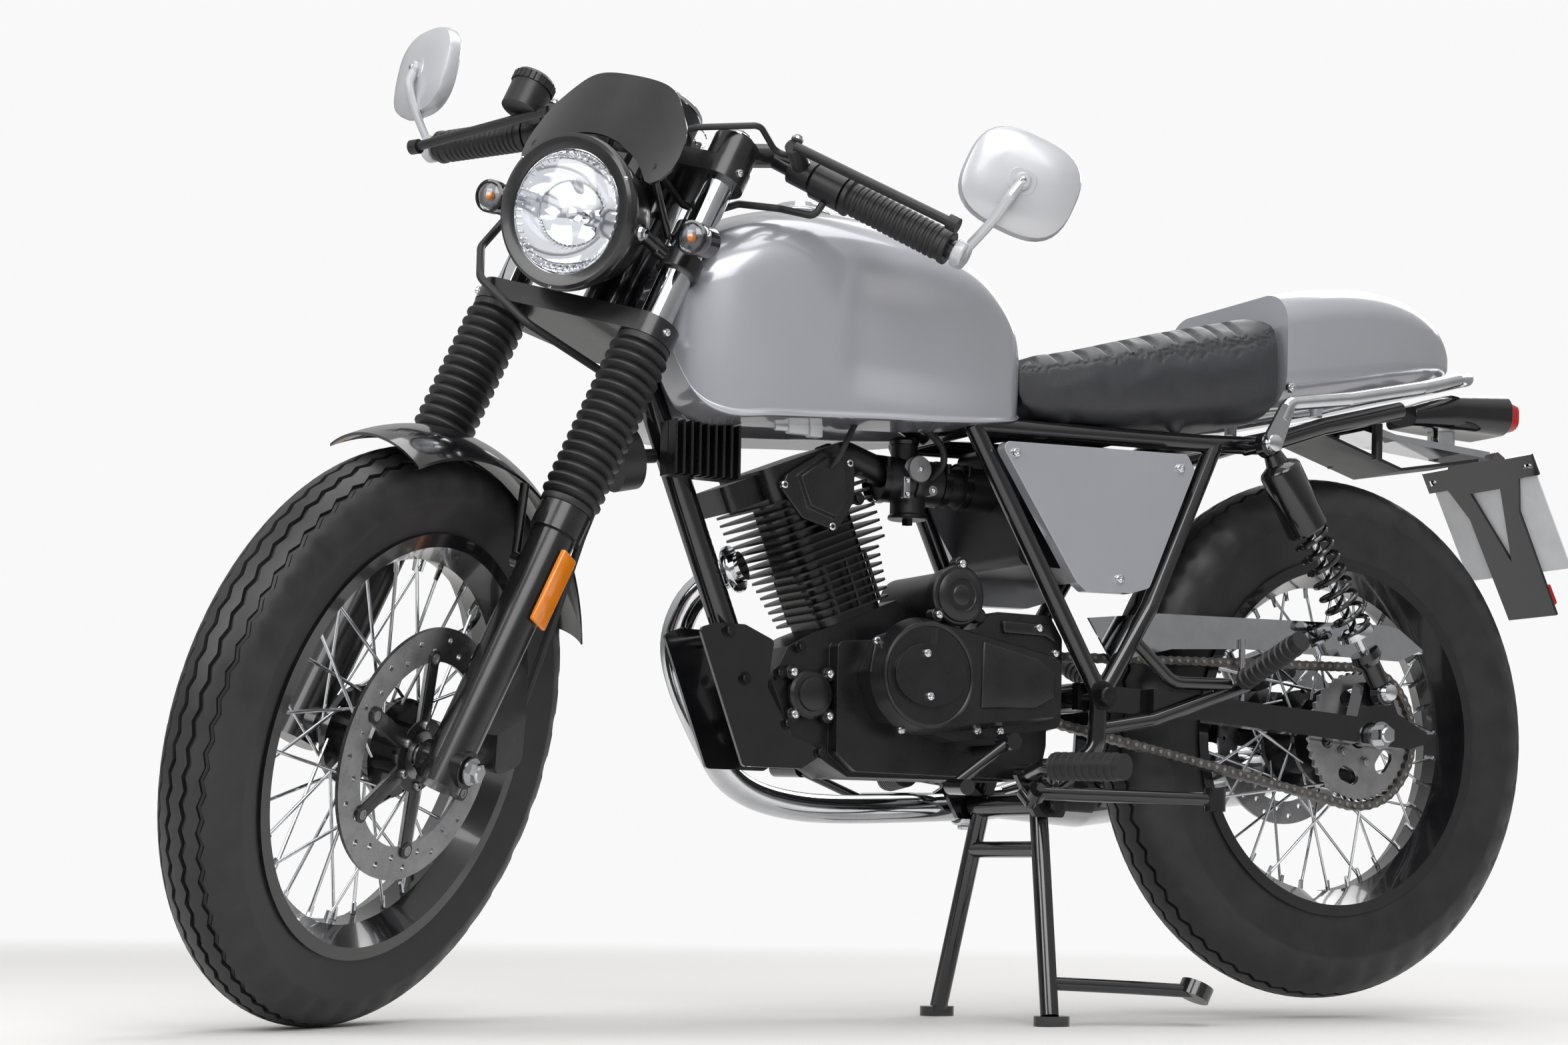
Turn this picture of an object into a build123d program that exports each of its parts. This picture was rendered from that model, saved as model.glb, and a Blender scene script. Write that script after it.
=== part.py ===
from build123d import *

import os
from math import acos, atan2, cos, degrees, hypot, pi, radians, sin, sqrt, tan

# A small cafe racer motorcycle with one air-cooled cylinder, standing on its centre stand
# with the steering turned to its left stop.
# Millimetres and degrees. X points forward, Y to the rider's left, Z up. The origin is on the
# floor in the bike's middle plane, midway between the two feet of the centre stand.
# Pieces that steer are drawn in a frame of their own: u forward, v left and w up along the
# steering axis, and are then put in place by STEERED.

# Layout
WHEELBASE = 1320.0
REAR_AXLE_X = -503.0
REAR_AXLE_Z = 363.0
RAKE = 25.3
FORK_OFFSET = 46.3
STEER_STOP = 38.0
FORK_HALF = 93.7

# Clearances: face to face seats, a shaft in its bore, a turning piece beside a fixed one
SEAT_GAP = 0.3
SHAFT_GAP = 0.05
TURN_GAP = 2.5

# Wheels
FRONT_TYRE_R = 313.0
FRONT_TYRE_W = 92.0
REAR_TYRE_R = 338.0
REAR_TYRE_W = 112.0
BEAD_R = 220.0
FLANGE_R = 230.0
FLANGE_T = 3.5
SPOKE_SEAT_R = 198.0
FRONT_RIM_W = 74.0
REAR_RIM_W = 92.0
CROWN_STEPS = 6
SPOKE_R = 1.8
SPOKE_PAIRS = 9
HUB_FLANGE_T = 6.8
FRONT_AXLE_R = 8.0
REAR_AXLE_R = 9.0
FRONT_HUB_R = 29.0
FRONT_HUB_FLANGE_R = 54.0
FRONT_HUB_FLANGE_Y = 28.0
REAR_HUB_R = 44.0
REAR_HUB_FLANGE_R = 66.0
REAR_HUB_FLANGE_Y = 30.0
DISC_T = 4.0
FRONT_DISC_Y = 56.0
FRONT_DISC_R = 136.0
REAR_DISC_Y = -66.0
REAR_DISC_R = 110.0
DISC_HOLES = 15

# Chain drive
CHAIN_Y = 77.5
CHAIN_PITCH = 12.7
REAR_TEETH = 44
FRONT_TEETH = 17
FRONT_SPROCKET_X = 14.0
FRONT_SPROCKET_Z = 402.0
CHAIN_W = 14.0
PLATE_HALF = 5.8
PLATE_WAIST = 4.4
SPROCKET_T = 6.0

# Steered parts, heights w along the steering axis
STANCHION_R = 18.5
LEG_R = 24.0
LEG_COLLAR_R = 28.5
LEG_TOP_W = 303.0
LEG_BOTTOM_W = -26.0
LOWER_CLAMP_W = 511.0
LOWER_CLAMP_H = 24.0
UPPER_CLAMP_W = 716.0
UPPER_CLAMP_H = 22.0
STANCHION_TOP_W = UPPER_CLAMP_W + 56
STEM_R = 13.0
GAITER_RIBS = 8
LAMP_U = 148.6
LAMP_W = 592.0
BEZEL_R = 83.0
LENS_R = 65.5

# Frame and body
TUBE_R = 11.0
DOWNTUBE_R = 16.0
HEAD_TUBE_R = 29.0
RAIL_Y = 84.0
PIVOT_Y = 112.0
SWINGARM_Y = 101.0
SWINGARM_W = 22.0
SWINGARM_H = 30.0
SWINGARM_X = -66.0
SWINGARM_Z = 391.0
SHOCK_Y = 127.6
SHOCK_TOP = (-307.0, 711.5)
SHOCK_FOOT = (-500.0, 416.0)
STAND_X = -20.0
STAND_Z = 262.0
STAND_PIVOT_R = 9.0
STAND_HALF = 60.0
FOOT_Y = 119.0
KICK_Y = 160.0
SIDE_PIVOT = Vector(18, 112, 273)
SIDE_FOLDED = Vector(-0.97, 0.243, -0.009).normalized()
SIDE_DOWN = Vector(0.35, 0.45, -0.82).normalized()
SIDE_LENGTH = 226.0
SIDE_PIN_R = 6.0
SWINGARM_PIN_R = 8.0
CRANK_HALF = 60.0
EXHAUST_R = 17.5
EXHAUST_Y = -112.0
SILENCER_R = 44.0
SILENCER_END = (-560.0, -176.0, 330.0)

# The lowest point of the turned front tyre is on the floor: its round crown of half the
# tyre's width rolls on the leaning wheel plane.
crown = FRONT_TYRE_W / 2
wheel_lean = sin(radians(RAKE)) * sin(radians(STEER_STOP))
FRONT_AXLE_Z = (FRONT_TYRE_R - crown) * sqrt(1 - wheel_lean ** 2) + crown
PIVOT_X = REAR_AXLE_X + WHEELBASE - FORK_OFFSET * cos(radians(RAKE))
PIVOT_Z = FRONT_AXLE_Z - FORK_OFFSET * sin(radians(RAKE)) * cos(radians(STEER_STOP))

AXIS_UP = Vector(-sin(radians(RAKE)), 0, cos(radians(RAKE)))
AXIS_AHEAD = Vector(cos(radians(RAKE)), 0, sin(radians(RAKE)))
STRAIGHT = Plane(origin=(PIVOT_X, 0, PIVOT_Z), x_dir=AXIS_AHEAD, z_dir=AXIS_UP)
TURNED = AXIS_AHEAD * cos(radians(STEER_STOP)) + Vector(0, 1, 0) * sin(radians(STEER_STOP))
STEERED = Plane(origin=(PIVOT_X, 0, PIVOT_Z), x_dir=TURNED, z_dir=AXIS_UP)
FRONT_WHEEL = Plane(origin=(FORK_OFFSET, 0, 0), x_dir=(1, 0, 0), z_dir=(0, 1, 0))
REAR_WHEEL = Plane(origin=(REAR_AXLE_X, 0, REAR_AXLE_Z), x_dir=(1, 0, 0), z_dir=(0, 1, 0))

side_axis = SIDE_FOLDED.cross(SIDE_DOWN).normalized()

parts = {}
os.makedirs("parts", exist_ok=True)


def keep(name, solid):
    """Label a finished piece and write it to its own file."""
    solid.label = name
    parts[name] = solid
    export_step(solid, f"parts/{name}.step")


def side_plane(y):
    """A plane seen from the right: x forward, z up, extruding towards the right."""
    return Plane.XZ.offset(-y)


def tube(points, radius, bend):
    """Add a round bar to the part that is open, along straight runs joined by bends."""
    with BuildLine() as route:
        if len(points) > 2:
            FilletPolyline(*points, radius=bend)
        else:
            Line(*points)
    start = Plane(origin=points[0], z_dir=Vector(*points[1]) - Vector(*points[0]))
    with BuildSketch(start) as section:
        Circle(radius)
    sweep(sections=section.sketch, path=route.wire())


def rod(start, end, radius):
    """Add a straight round rod between two points to the part that is open."""
    along = Vector(*end) - Vector(*start)
    with BuildSketch(Plane(origin=start, z_dir=along)) as section:
        Circle(radius)
    extrude(section.sketch, amount=along.length)


def bore(start, end, radius):
    """Cut a straight round hole between two points out of the part that is open."""
    along = Vector(*end) - Vector(*start)
    with BuildSketch(Plane(origin=start, z_dir=along)) as section:
        Circle(radius)
    extrude(section.sketch, amount=along.length, mode=Mode.SUBTRACT)


def slab(points, y_low, y_high, corner=0.0, mode=Mode.ADD):
    """Add a plate with an outline in x and z, between two distances from the middle plane."""
    with BuildSketch(side_plane(y_high)) as outline:
        with BuildLine():
            Polyline(*points, close=True)
        make_face()
        if corner:
            fillet(outline.vertices(), corner)
    extrude(outline.sketch, amount=y_high - y_low, mode=mode)


def turned_section(points):
    """Add a ring to the part that is open, from an outline of radius and height about Z."""
    with BuildSketch(Plane.XZ) as section:
        with BuildLine():
            Polyline(*points, close=True)
        make_face()
    revolve(section.sketch, axis=Axis.Z)


def steered(solid):
    """Put a piece of the steered frame in its place."""
    return solid.moved(STEERED.location)


def on_front_wheel(solid):
    """Put a piece drawn round its own axle on the steered front wheel."""
    return solid.moved(FRONT_WHEEL.location).moved(STEERED.location)


def on_rear_wheel(solid):
    """Put a piece drawn round its own axle on the rear wheel."""
    return solid.moved(REAR_WHEEL.location)


# Wheels, drawn round Z with the left side up


def tyre(radius, width, rim_width):
    """A tyre: a round crown in short chords, straight side walls down to the rim."""
    round_r = width / 2
    centre_r = radius - round_r
    bead = rim_width / 2 - FLANGE_T - SEAT_GAP
    crown_points = [
        (centre_r + round_r * cos(turn), round_r * sin(turn))
        for turn in [pi * step / CROWN_STEPS - pi / 2 for step in range(CROWN_STEPS + 1)]
    ]
    with BuildPart() as ring:
        turned_section([(BEAD_R + SEAT_GAP, -bead), (FLANGE_R + 1, -bead)] + crown_points
                       + [(FLANGE_R + 1, bead), (BEAD_R + SEAT_GAP, bead)])
    return ring.part


def rim_and_hub(rim_width, axle_r, hub_points):
    """A rim with two flanges and a flat bed, and a hub turned from one outline."""
    half = rim_width / 2
    inner = half - FLANGE_T
    with BuildPart() as wheel:
        turned_section([
            (SPOKE_SEAT_R, -12), (BEAD_R - 4, -half), (FLANGE_R, -half), (FLANGE_R, -inner),
            (BEAD_R, -inner), (BEAD_R, inner), (FLANGE_R, inner), (FLANGE_R, half),
            (BEAD_R - 4, half), (SPOKE_SEAT_R, 12),
        ])
        turned_section([(axle_r + SHAFT_GAP, hub_points[0][1])] + hub_points
                       + [(axle_r + SHAFT_GAP, hub_points[-1][1])])
    return wheel.part


def hub_outline(barrel, flange_r, flange_y, low, high):
    """The outer outline of a hub with a spoke flange near each end."""
    t = HUB_FLANGE_T / 2
    return [
        (barrel, low), (barrel, -flange_y - t), (flange_r, -flange_y - t), (flange_r, -flange_y + t),
        (barrel, -flange_y + t), (barrel, flange_y - t), (flange_r, flange_y - t),
        (flange_r, flange_y + t), (barrel, flange_y + t), (barrel, high),
    ]


def spokes(flange_r, flange_y):
    """Crossed wire spokes from both hub flanges to the rim, in pairs that lean either way."""
    hole_r = flange_r - 3
    lean = 52.0
    step = 360.0 / (2 * SPOKE_PAIRS)
    end_r = SPOKE_SEAT_R - SPOKE_R * 0.4 - SEAT_GAP
    with BuildPart() as wires:
        for side in (-1, 1):
            for pair in range(SPOKE_PAIRS):
                for way in (-1, 1):
                    turn = pair * 2 * step + (side + 1) / 2 * step
                    at_hub = radians(turn + way * lean)
                    at_rim = radians(turn + way * step / 4)
                    # An outer spoke bends in over the flange's edge, so it starts further out
                    offset = HUB_FLANGE_T / 2 + SPOKE_R + SEAT_GAP + (0.8 if way > 0 else 0.0)
                    y = side * (flange_y + way * offset)
                    start = (hole_r * cos(at_hub), hole_r * sin(at_hub), y)
                    end = (end_r * cos(at_rim), end_r * sin(at_rim), side * 7.0)
                    rod(start, end, SPOKE_R)
    return wires.part


def brake_disc(radius, band, y, hub_r, arms):
    """A drilled brake disc with its arms and hub ring in one plate."""
    with BuildPart() as disc:
        with BuildSketch(Plane.XY.offset(y - DISC_T / 2)):
            Circle(radius)
            Circle(radius - band, mode=Mode.SUBTRACT)
            Circle(hub_r + 14)
            with PolarLocations((radius - band + hub_r) / 2, arms):
                Rectangle(radius - band - hub_r, 18)
            Circle(hub_r, mode=Mode.SUBTRACT)
            with PolarLocations(radius - band * 0.35, DISC_HOLES):
                Circle(3.6, mode=Mode.SUBTRACT)
            with PolarLocations(radius - band * 0.68, DISC_HOLES, start_angle=180 / DISC_HOLES):
                Circle(3.6, mode=Mode.SUBTRACT)
        extrude(amount=DISC_T)
    return disc.part


front_hub_top = FRONT_DISC_Y - DISC_T / 2
front_hub_low = -52.0
keep("front_tyre", on_front_wheel(tyre(FRONT_TYRE_R, FRONT_TYRE_W, FRONT_RIM_W)))
keep("front_rim_and_hub", on_front_wheel(rim_and_hub(
    FRONT_RIM_W, FRONT_AXLE_R,
    hub_outline(FRONT_HUB_R, FRONT_HUB_FLANGE_R, FRONT_HUB_FLANGE_Y, front_hub_low, front_hub_top))))
keep("front_spokes", on_front_wheel(spokes(FRONT_HUB_FLANGE_R, FRONT_HUB_FLANGE_Y)))
keep("front_disc", on_front_wheel(brake_disc(
    FRONT_DISC_R, 36.0, FRONT_DISC_Y, FRONT_AXLE_R + 6, 6)))

rear_hub_top = CHAIN_Y - SPROCKET_T / 2
rear_hub_low = REAR_DISC_Y + DISC_T / 2
keep("rear_tyre", on_rear_wheel(tyre(REAR_TYRE_R, REAR_TYRE_W, REAR_RIM_W)))
keep("rear_rim_and_hub", on_rear_wheel(rim_and_hub(
    REAR_RIM_W, REAR_AXLE_R,
    hub_outline(REAR_HUB_R, REAR_HUB_FLANGE_R, REAR_HUB_FLANGE_Y, rear_hub_low, rear_hub_top))))
keep("rear_spokes", on_rear_wheel(spokes(REAR_HUB_FLANGE_R, REAR_HUB_FLANGE_Y)))
keep("rear_disc", on_rear_wheel(brake_disc(
    REAR_DISC_R, 30.0, REAR_DISC_Y, REAR_AXLE_R + 6, 6)))

# Sprocket and chain

rear_pitch_r = CHAIN_PITCH / (2 * sin(pi / REAR_TEETH))
front_pitch_r = CHAIN_PITCH / (2 * sin(pi / FRONT_TEETH))
tip_r = rear_pitch_r - PLATE_HALF - SEAT_GAP
root_r = tip_r - 4.0

with BuildPart() as rear_sprocket:
    with BuildSketch(Plane.XY.offset(CHAIN_Y - SPROCKET_T / 2)):
        with BuildLine():
            Polyline(*[
                ((tip_r if corner % 2 else root_r) * cos(pi * corner / REAR_TEETH),
                 (tip_r if corner % 2 else root_r) * sin(pi * corner / REAR_TEETH))
                for corner in range(2 * REAR_TEETH)
            ], close=True)
        make_face()
        Circle(REAR_AXLE_R + 6, mode=Mode.SUBTRACT)
        with PolarLocations(52, 5):
            SlotOverall(34, 20, rotation=90, mode=Mode.SUBTRACT)
    extrude(amount=SPROCKET_T)
keep("rear_sprocket", on_rear_wheel(rear_sprocket.part))

# The chain runs round both sprockets: the angle between its runs and the line of centres
# comes from the two pitch radii.
centre_dx = FRONT_SPROCKET_X - REAR_AXLE_X
centre_dz = FRONT_SPROCKET_Z - REAR_AXLE_Z
centre_span = hypot(centre_dx, centre_dz)
centre_turn = atan2(centre_dz, centre_dx)
wrap = acos((rear_pitch_r - front_pitch_r) / centre_span)


def chain_point(distance, offset):
    """A point of the chain, at a distance along its pitch line and an offset outwards."""
    run = centre_span * sin(wrap)
    rear_arc = (2 * pi - 2 * wrap) * rear_pitch_r
    front_arc = 2 * wrap * front_pitch_r
    total = 2 * run + rear_arc + front_arc
    distance = distance % total
    if distance < rear_arc:
        turn = centre_turn + wrap + distance / rear_pitch_r
        x, z, r = REAR_AXLE_X, REAR_AXLE_Z, rear_pitch_r + offset
        return (x + r * cos(turn), z + r * sin(turn))
    distance -= rear_arc
    if distance < run:
        turn = centre_turn - wrap
        x = REAR_AXLE_X + (rear_pitch_r + offset) * cos(turn)
        z = REAR_AXLE_Z + (rear_pitch_r + offset) * sin(turn)
        return (x - distance * sin(turn), z + distance * cos(turn))
    distance -= run
    if distance < front_arc:
        turn = centre_turn - wrap + distance / front_pitch_r
        x, z, r = FRONT_SPROCKET_X, FRONT_SPROCKET_Z, front_pitch_r + offset
        return (x + r * cos(turn), z + r * sin(turn))
    distance -= front_arc
    turn = centre_turn + wrap
    x = FRONT_SPROCKET_X + (front_pitch_r + offset) * cos(turn)
    z = FRONT_SPROCKET_Z + (front_pitch_r + offset) * sin(turn)
    return (x - distance * sin(turn), z + distance * cos(turn))


chain_length = (2 * centre_span * sin(wrap) + (2 * pi - 2 * wrap) * rear_pitch_r
                + 2 * wrap * front_pitch_r)
links = round(chain_length / CHAIN_PITCH)
half_link = chain_length / links / 2


def chain_edge(side):
    """The scalloped outer or inner edge of the chain's plates."""
    return [
        chain_point(half_link * step, side * (PLATE_WAIST if step % 2 else PLATE_HALF))
        for step in range(2 * links)
    ]


with BuildPart() as chain:
    slab(chain_edge(1), CHAIN_Y - CHAIN_W / 2, CHAIN_Y + CHAIN_W / 2)
    slab(chain_edge(-1), CHAIN_Y - CHAIN_W / 2, CHAIN_Y + CHAIN_W / 2, mode=Mode.SUBTRACT)
keep("chain", chain.part)

# Steered pieces, drawn in u, v and w

FORK_SIDES = (-1, 1)

with BuildPart() as fork_tubes:
    for side in FORK_SIDES:
        foot = (FORK_OFFSET, side * FORK_HALF, LEG_TOP_W + SEAT_GAP)
        rod(foot, (FORK_OFFSET, side * FORK_HALF, STANCHION_TOP_W), STANCHION_R)
keep("fork_tubes", steered(fork_tubes.part))

with BuildPart() as fork_legs:
    for side in FORK_SIDES:
        v = side * FORK_HALF
        rod((FORK_OFFSET, v, LEG_BOTTOM_W), (FORK_OFFSET, v, LEG_TOP_W), LEG_R)
        rod((FORK_OFFSET, v, LEG_TOP_W - 30), (FORK_OFFSET, v, LEG_TOP_W), LEG_COLLAR_R)
        rod((FORK_OFFSET, v - LEG_R - 3, 0), (FORK_OFFSET, v + LEG_R + 3, 0), FRONT_AXLE_R + 12)
    with BuildSketch(side_plane(FORK_HALF + 5)):
        with BuildLine():
            Polyline((FORK_OFFSET, 40), (FORK_OFFSET, 150), (-22, 132), (-46, 96), (-10, 60), close=True)
        make_face()
    extrude(amount=10)
    bore((FORK_OFFSET, -FORK_HALF * 2, 0), (FORK_OFFSET, FORK_HALF * 2, 0), FRONT_AXLE_R + SHAFT_GAP)
keep("fork_legs", steered(fork_legs.part))

leg_inner = FORK_HALF - LEG_R - 3
with BuildPart() as front_axle:
    rod((FORK_OFFSET, -FORK_HALF - LEG_R - 12, 0), (FORK_OFFSET, FORK_HALF + LEG_R + 12, 0), FRONT_AXLE_R)
    rod((FORK_OFFSET, front_hub_top + DISC_T + SEAT_GAP, 0), (FORK_OFFSET, leg_inner - SEAT_GAP, 0),
        FRONT_AXLE_R + 4)
    rod((FORK_OFFSET, -leg_inner + SEAT_GAP, 0), (FORK_OFFSET, front_hub_low - SEAT_GAP, 0),
        FRONT_AXLE_R + 6)
keep("front_axle", steered(front_axle.part))

gaiter_low = LEG_TOP_W + SEAT_GAP
gaiter_high = LOWER_CLAMP_W - SEAT_GAP
rib_h = (gaiter_high - gaiter_low) / GAITER_RIBS
GAITER_PEAK_R = 33.0
GAITER_VALLEY_R = 27.0
with BuildPart() as gaiter:
    with BuildSketch(Plane.XZ) as bellows:
        with BuildLine():
            Polyline(
                (STANCHION_R + SEAT_GAP, gaiter_low),
                *[point for rib in range(GAITER_RIBS) for point in (
                    (GAITER_VALLEY_R, gaiter_low + rib * rib_h),
                    (GAITER_PEAK_R, gaiter_low + (rib + 0.5) * rib_h))],
                (GAITER_VALLEY_R, gaiter_high),
                (STANCHION_R + SEAT_GAP, gaiter_high), close=True)
        make_face()
    revolve(axis=Axis.Z)
with BuildPart() as gaiters:
    with Locations(*[(FORK_OFFSET, side * FORK_HALF, 0) for side in FORK_SIDES]):
        add(gaiter.part)
keep("gaiters", steered(gaiters.part))


def clamp_outline(outer_r, middle_r):
    """The hull of a fork clamp round both tubes and the steering stem."""
    with Locations((FORK_OFFSET, FORK_HALF), (FORK_OFFSET, -FORK_HALF)):
        Circle(outer_r)
    Circle(middle_r)
    make_hull()


with BuildPart() as fork_clamps:
    with BuildSketch(Plane.XY.offset(LOWER_CLAMP_W)):
        clamp_outline(31, 30)
    extrude(amount=LOWER_CLAMP_H)
    with BuildSketch(Plane.XY.offset(UPPER_CLAMP_W)):
        clamp_outline(28, 26)
    extrude(amount=UPPER_CLAMP_H)
    for side in FORK_SIDES:
        bore((FORK_OFFSET, side * FORK_HALF, LOWER_CLAMP_W - 1),
             (FORK_OFFSET, side * FORK_HALF, UPPER_CLAMP_W + UPPER_CLAMP_H + 1), STANCHION_R + SHAFT_GAP)
    rod((0, 0, LOWER_CLAMP_W), (0, 0, UPPER_CLAMP_W), STEM_R)
keep("fork_clamps", steered(fork_clamps.part))

# The headlight looks ahead along the ground when the steering is straight
LAMP_AHEAD = Vector(cos(radians(RAKE)), 0, -sin(radians(RAKE)))
LAMP = Plane(origin=(LAMP_U, 0, LAMP_W), x_dir=(0, 1, 0), z_dir=LAMP_AHEAD)
LENS_DEPTH = 10.0
EAR_W = 598.0
EAR_H = 22.0
LAMP_ARM_R = 8.0
LAMP_ARM_IN = Vector(LAMP_U - 48, 60, LAMP_W + 22)
LAMP_ARM_OUT = Vector(FORK_OFFSET, FORK_HALF - 4, EAR_W + EAR_H / 2)
with BuildPart() as lamp_bucket:
    turned_section([
        (0, -104), (26, -104), (52, -88), (70, -58), (76, -16), (BEZEL_R, -12), (BEZEL_R, -3),
        (BEZEL_R - 5, 3), (LENS_R + SEAT_GAP, 0), (LENS_R + SEAT_GAP, -LENS_DEPTH), (0, -LENS_DEPTH),
    ])
with BuildPart() as headlight:
    add(lamp_bucket.part.moved(LAMP.location))
    for side in FORK_SIDES:
        v = side * FORK_HALF
        rod((FORK_OFFSET, v, EAR_W), (FORK_OFFSET, v, EAR_W + EAR_H), STANCHION_R + 6)
        rod((LAMP_ARM_IN.X, side * LAMP_ARM_IN.Y, LAMP_ARM_IN.Z),
            (LAMP_ARM_OUT.X, side * LAMP_ARM_OUT.Y, LAMP_ARM_OUT.Z), LAMP_ARM_R)
        bore((FORK_OFFSET, v, EAR_W - 10), (FORK_OFFSET, v, EAR_W + EAR_H + 10), STANCHION_R + SHAFT_GAP)
keep("headlight", steered(headlight.part))

with BuildPart() as lens:
    turned_section([
        (0, SEAT_GAP - LENS_DEPTH), (LENS_R, SEAT_GAP - LENS_DEPTH), (LENS_R, 0), (56, 6), (38, 10),
        (18, 12), (0, 12.5),
    ])
keep("headlight_lens", steered(lens.part.moved(LAMP.location)))

# The flyscreen is a bent sheet above the lamp that leans back, arched over the bezel
FLY_R = 150.0
FLY_T = 3.5
FLY_LEAN = 10.0
FLY_TIP_U = 147.0
FLY_TIP_V = 78.0
FLY_LOW_W = LAMP_W + 48
FLY_OUTLINE = ((66, 48), (80, 64), (73, 118), (51, 153), (32, 163))
FLY_ARCH_R = BEZEL_R + 9
fly_centre_u = FLY_TIP_U - sqrt(FLY_R ** 2 - FLY_TIP_V ** 2)
fly_ahead = Vector(cos(radians(FLY_LEAN)), 0, sin(radians(FLY_LEAN)))
fly_up = Vector(-sin(radians(FLY_LEAN)), 0, cos(radians(FLY_LEAN)))
FLY_BASE = Plane(origin=(fly_centre_u, 0, FLY_LOW_W - 8), x_dir=fly_ahead, z_dir=fly_up)
# Each stay stands on the lamp's arm, whose round top is this far above the arm's middle line
arm_way = LAMP_ARM_OUT - LAMP_ARM_IN
stay_on_arm = LAMP_ARM_IN + arm_way * 0.62
stay_low_w = stay_on_arm.Z + LAMP_ARM_R * arm_way.length / hypot(arm_way.X, arm_way.Y) + 2 * SEAT_GAP
with BuildPart() as flyscreen:
    with BuildSketch(FLY_BASE) as sheet:
        Circle(FLY_R)
        Circle(FLY_R - FLY_T, mode=Mode.SUBTRACT)
    extrude(sheet.sketch, amount=150)
    with BuildSketch(Plane(origin=(60, 0, LAMP_W), x_dir=(0, 1, 0), z_dir=(1, 0, 0))) as front:
        with BuildLine():
            Polyline(*FLY_OUTLINE, *[(-v, w) for v, w in reversed(FLY_OUTLINE)], close=True)
        make_face()
        fillet(front.vertices(), 7)
        Circle(FLY_ARCH_R, mode=Mode.SUBTRACT)
    extrude(front.sketch, amount=200, mode=Mode.INTERSECT)
with BuildPart() as flyscreen_set:
    add(flyscreen.part.solids().sort_by(SortBy.VOLUME)[-1])
    for side in FORK_SIDES:
        foot = (stay_on_arm.X, side * stay_on_arm.Y, stay_low_w)
        knee = (stay_on_arm.X, side * stay_on_arm.Y, stay_low_w + 9)
        rod(foot, knee, 3)
        rod(knee, (FLY_TIP_U - 5, side * (FLY_TIP_V - 4), FLY_LOW_W + 26), 4)
keep("flyscreen", steered(flyscreen_set.part))

INSTRUMENT_U = 62.0
instrument_low = UPPER_CLAMP_W + UPPER_CLAMP_H + SEAT_GAP
with BuildPart() as instrument:
    rod((INSTRUMENT_U, 0, instrument_low), (INSTRUMENT_U, 0, instrument_low + 32), 34)
    rod((INSTRUMENT_U, 0, instrument_low + 22), (INSTRUMENT_U, 0, instrument_low + 48), 42)
keep("instrument", steered(instrument.part))

# Position lamps on short arms from a ring round each fork tube
SIDE_RING_W = UPPER_CLAMP_W - 82
SIDE_LAMP = (97.0, 130.0, SIDE_RING_W - 15)
SIDE_RING_H = 20.0
with BuildPart() as position_lamps:
    for side in FORK_SIDES:
        v = side * FORK_HALF
        u, out, w = SIDE_LAMP
        ring_middle = SIDE_RING_W + SIDE_RING_H / 2
        rod((FORK_OFFSET, v, SIDE_RING_W), (FORK_OFFSET, v, SIDE_RING_W + SIDE_RING_H), STANCHION_R + 5)
        rod((FORK_OFFSET + 6, side * (FORK_HALF + 6), ring_middle), (u - 14, side * (out - 3), w + 8), 7)
        rod((u - 22, side * out, w + 10), (u + 8, side * out, w - 4), 17)
        bore((FORK_OFFSET, v, SIDE_RING_W - 10), (FORK_OFFSET, v, SIDE_RING_W + 40), STANCHION_R + SHAFT_GAP)
keep("position_lamps", steered(position_lamps.part))

# Handlebars: a clamp on each fork tube carries a bar that slopes out and back
BAR_R = 11.0
GRIP_R = 16.5
BAR_IN = (4.0, 112.0, UPPER_CLAMP_W + 70)
BAR_OUT = (-45.0, 347.0, UPPER_CLAMP_W + 26)
BAR_CLAMP_H = 30.0
bar_way = Vector(*BAR_OUT) - Vector(*BAR_IN)


def on_bar(side, share, ahead=0.0, up=0.0):
    """A point on the bar of one side, at a share of its length, moved ahead and up."""
    point = Vector(*BAR_IN) + bar_way * share
    return (point.X + ahead, side * point.Y, point.Z + up)


clamp_low = UPPER_CLAMP_W + UPPER_CLAMP_H + SEAT_GAP
clamp_high = clamp_low + BAR_CLAMP_H
with BuildPart() as handlebars:
    for side in FORK_SIDES:
        v = side * FORK_HALF
        rod((FORK_OFFSET, v, clamp_low), (FORK_OFFSET, v, clamp_high), STANCHION_R + 8)
        rod((FORK_OFFSET, v, (clamp_low + clamp_high) / 2), on_bar(side, 0.0), 13)
        rod(on_bar(side, 0.0), on_bar(side, 1.0), BAR_R)
        rod(on_bar(side, 0.42), on_bar(side, 0.97), GRIP_R)
        bore((FORK_OFFSET, v, clamp_low - 1), (FORK_OFFSET, v, clamp_high + 20), STANCHION_R + SHAFT_GAP)
keep("handlebars", steered(handlebars.part))

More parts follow.
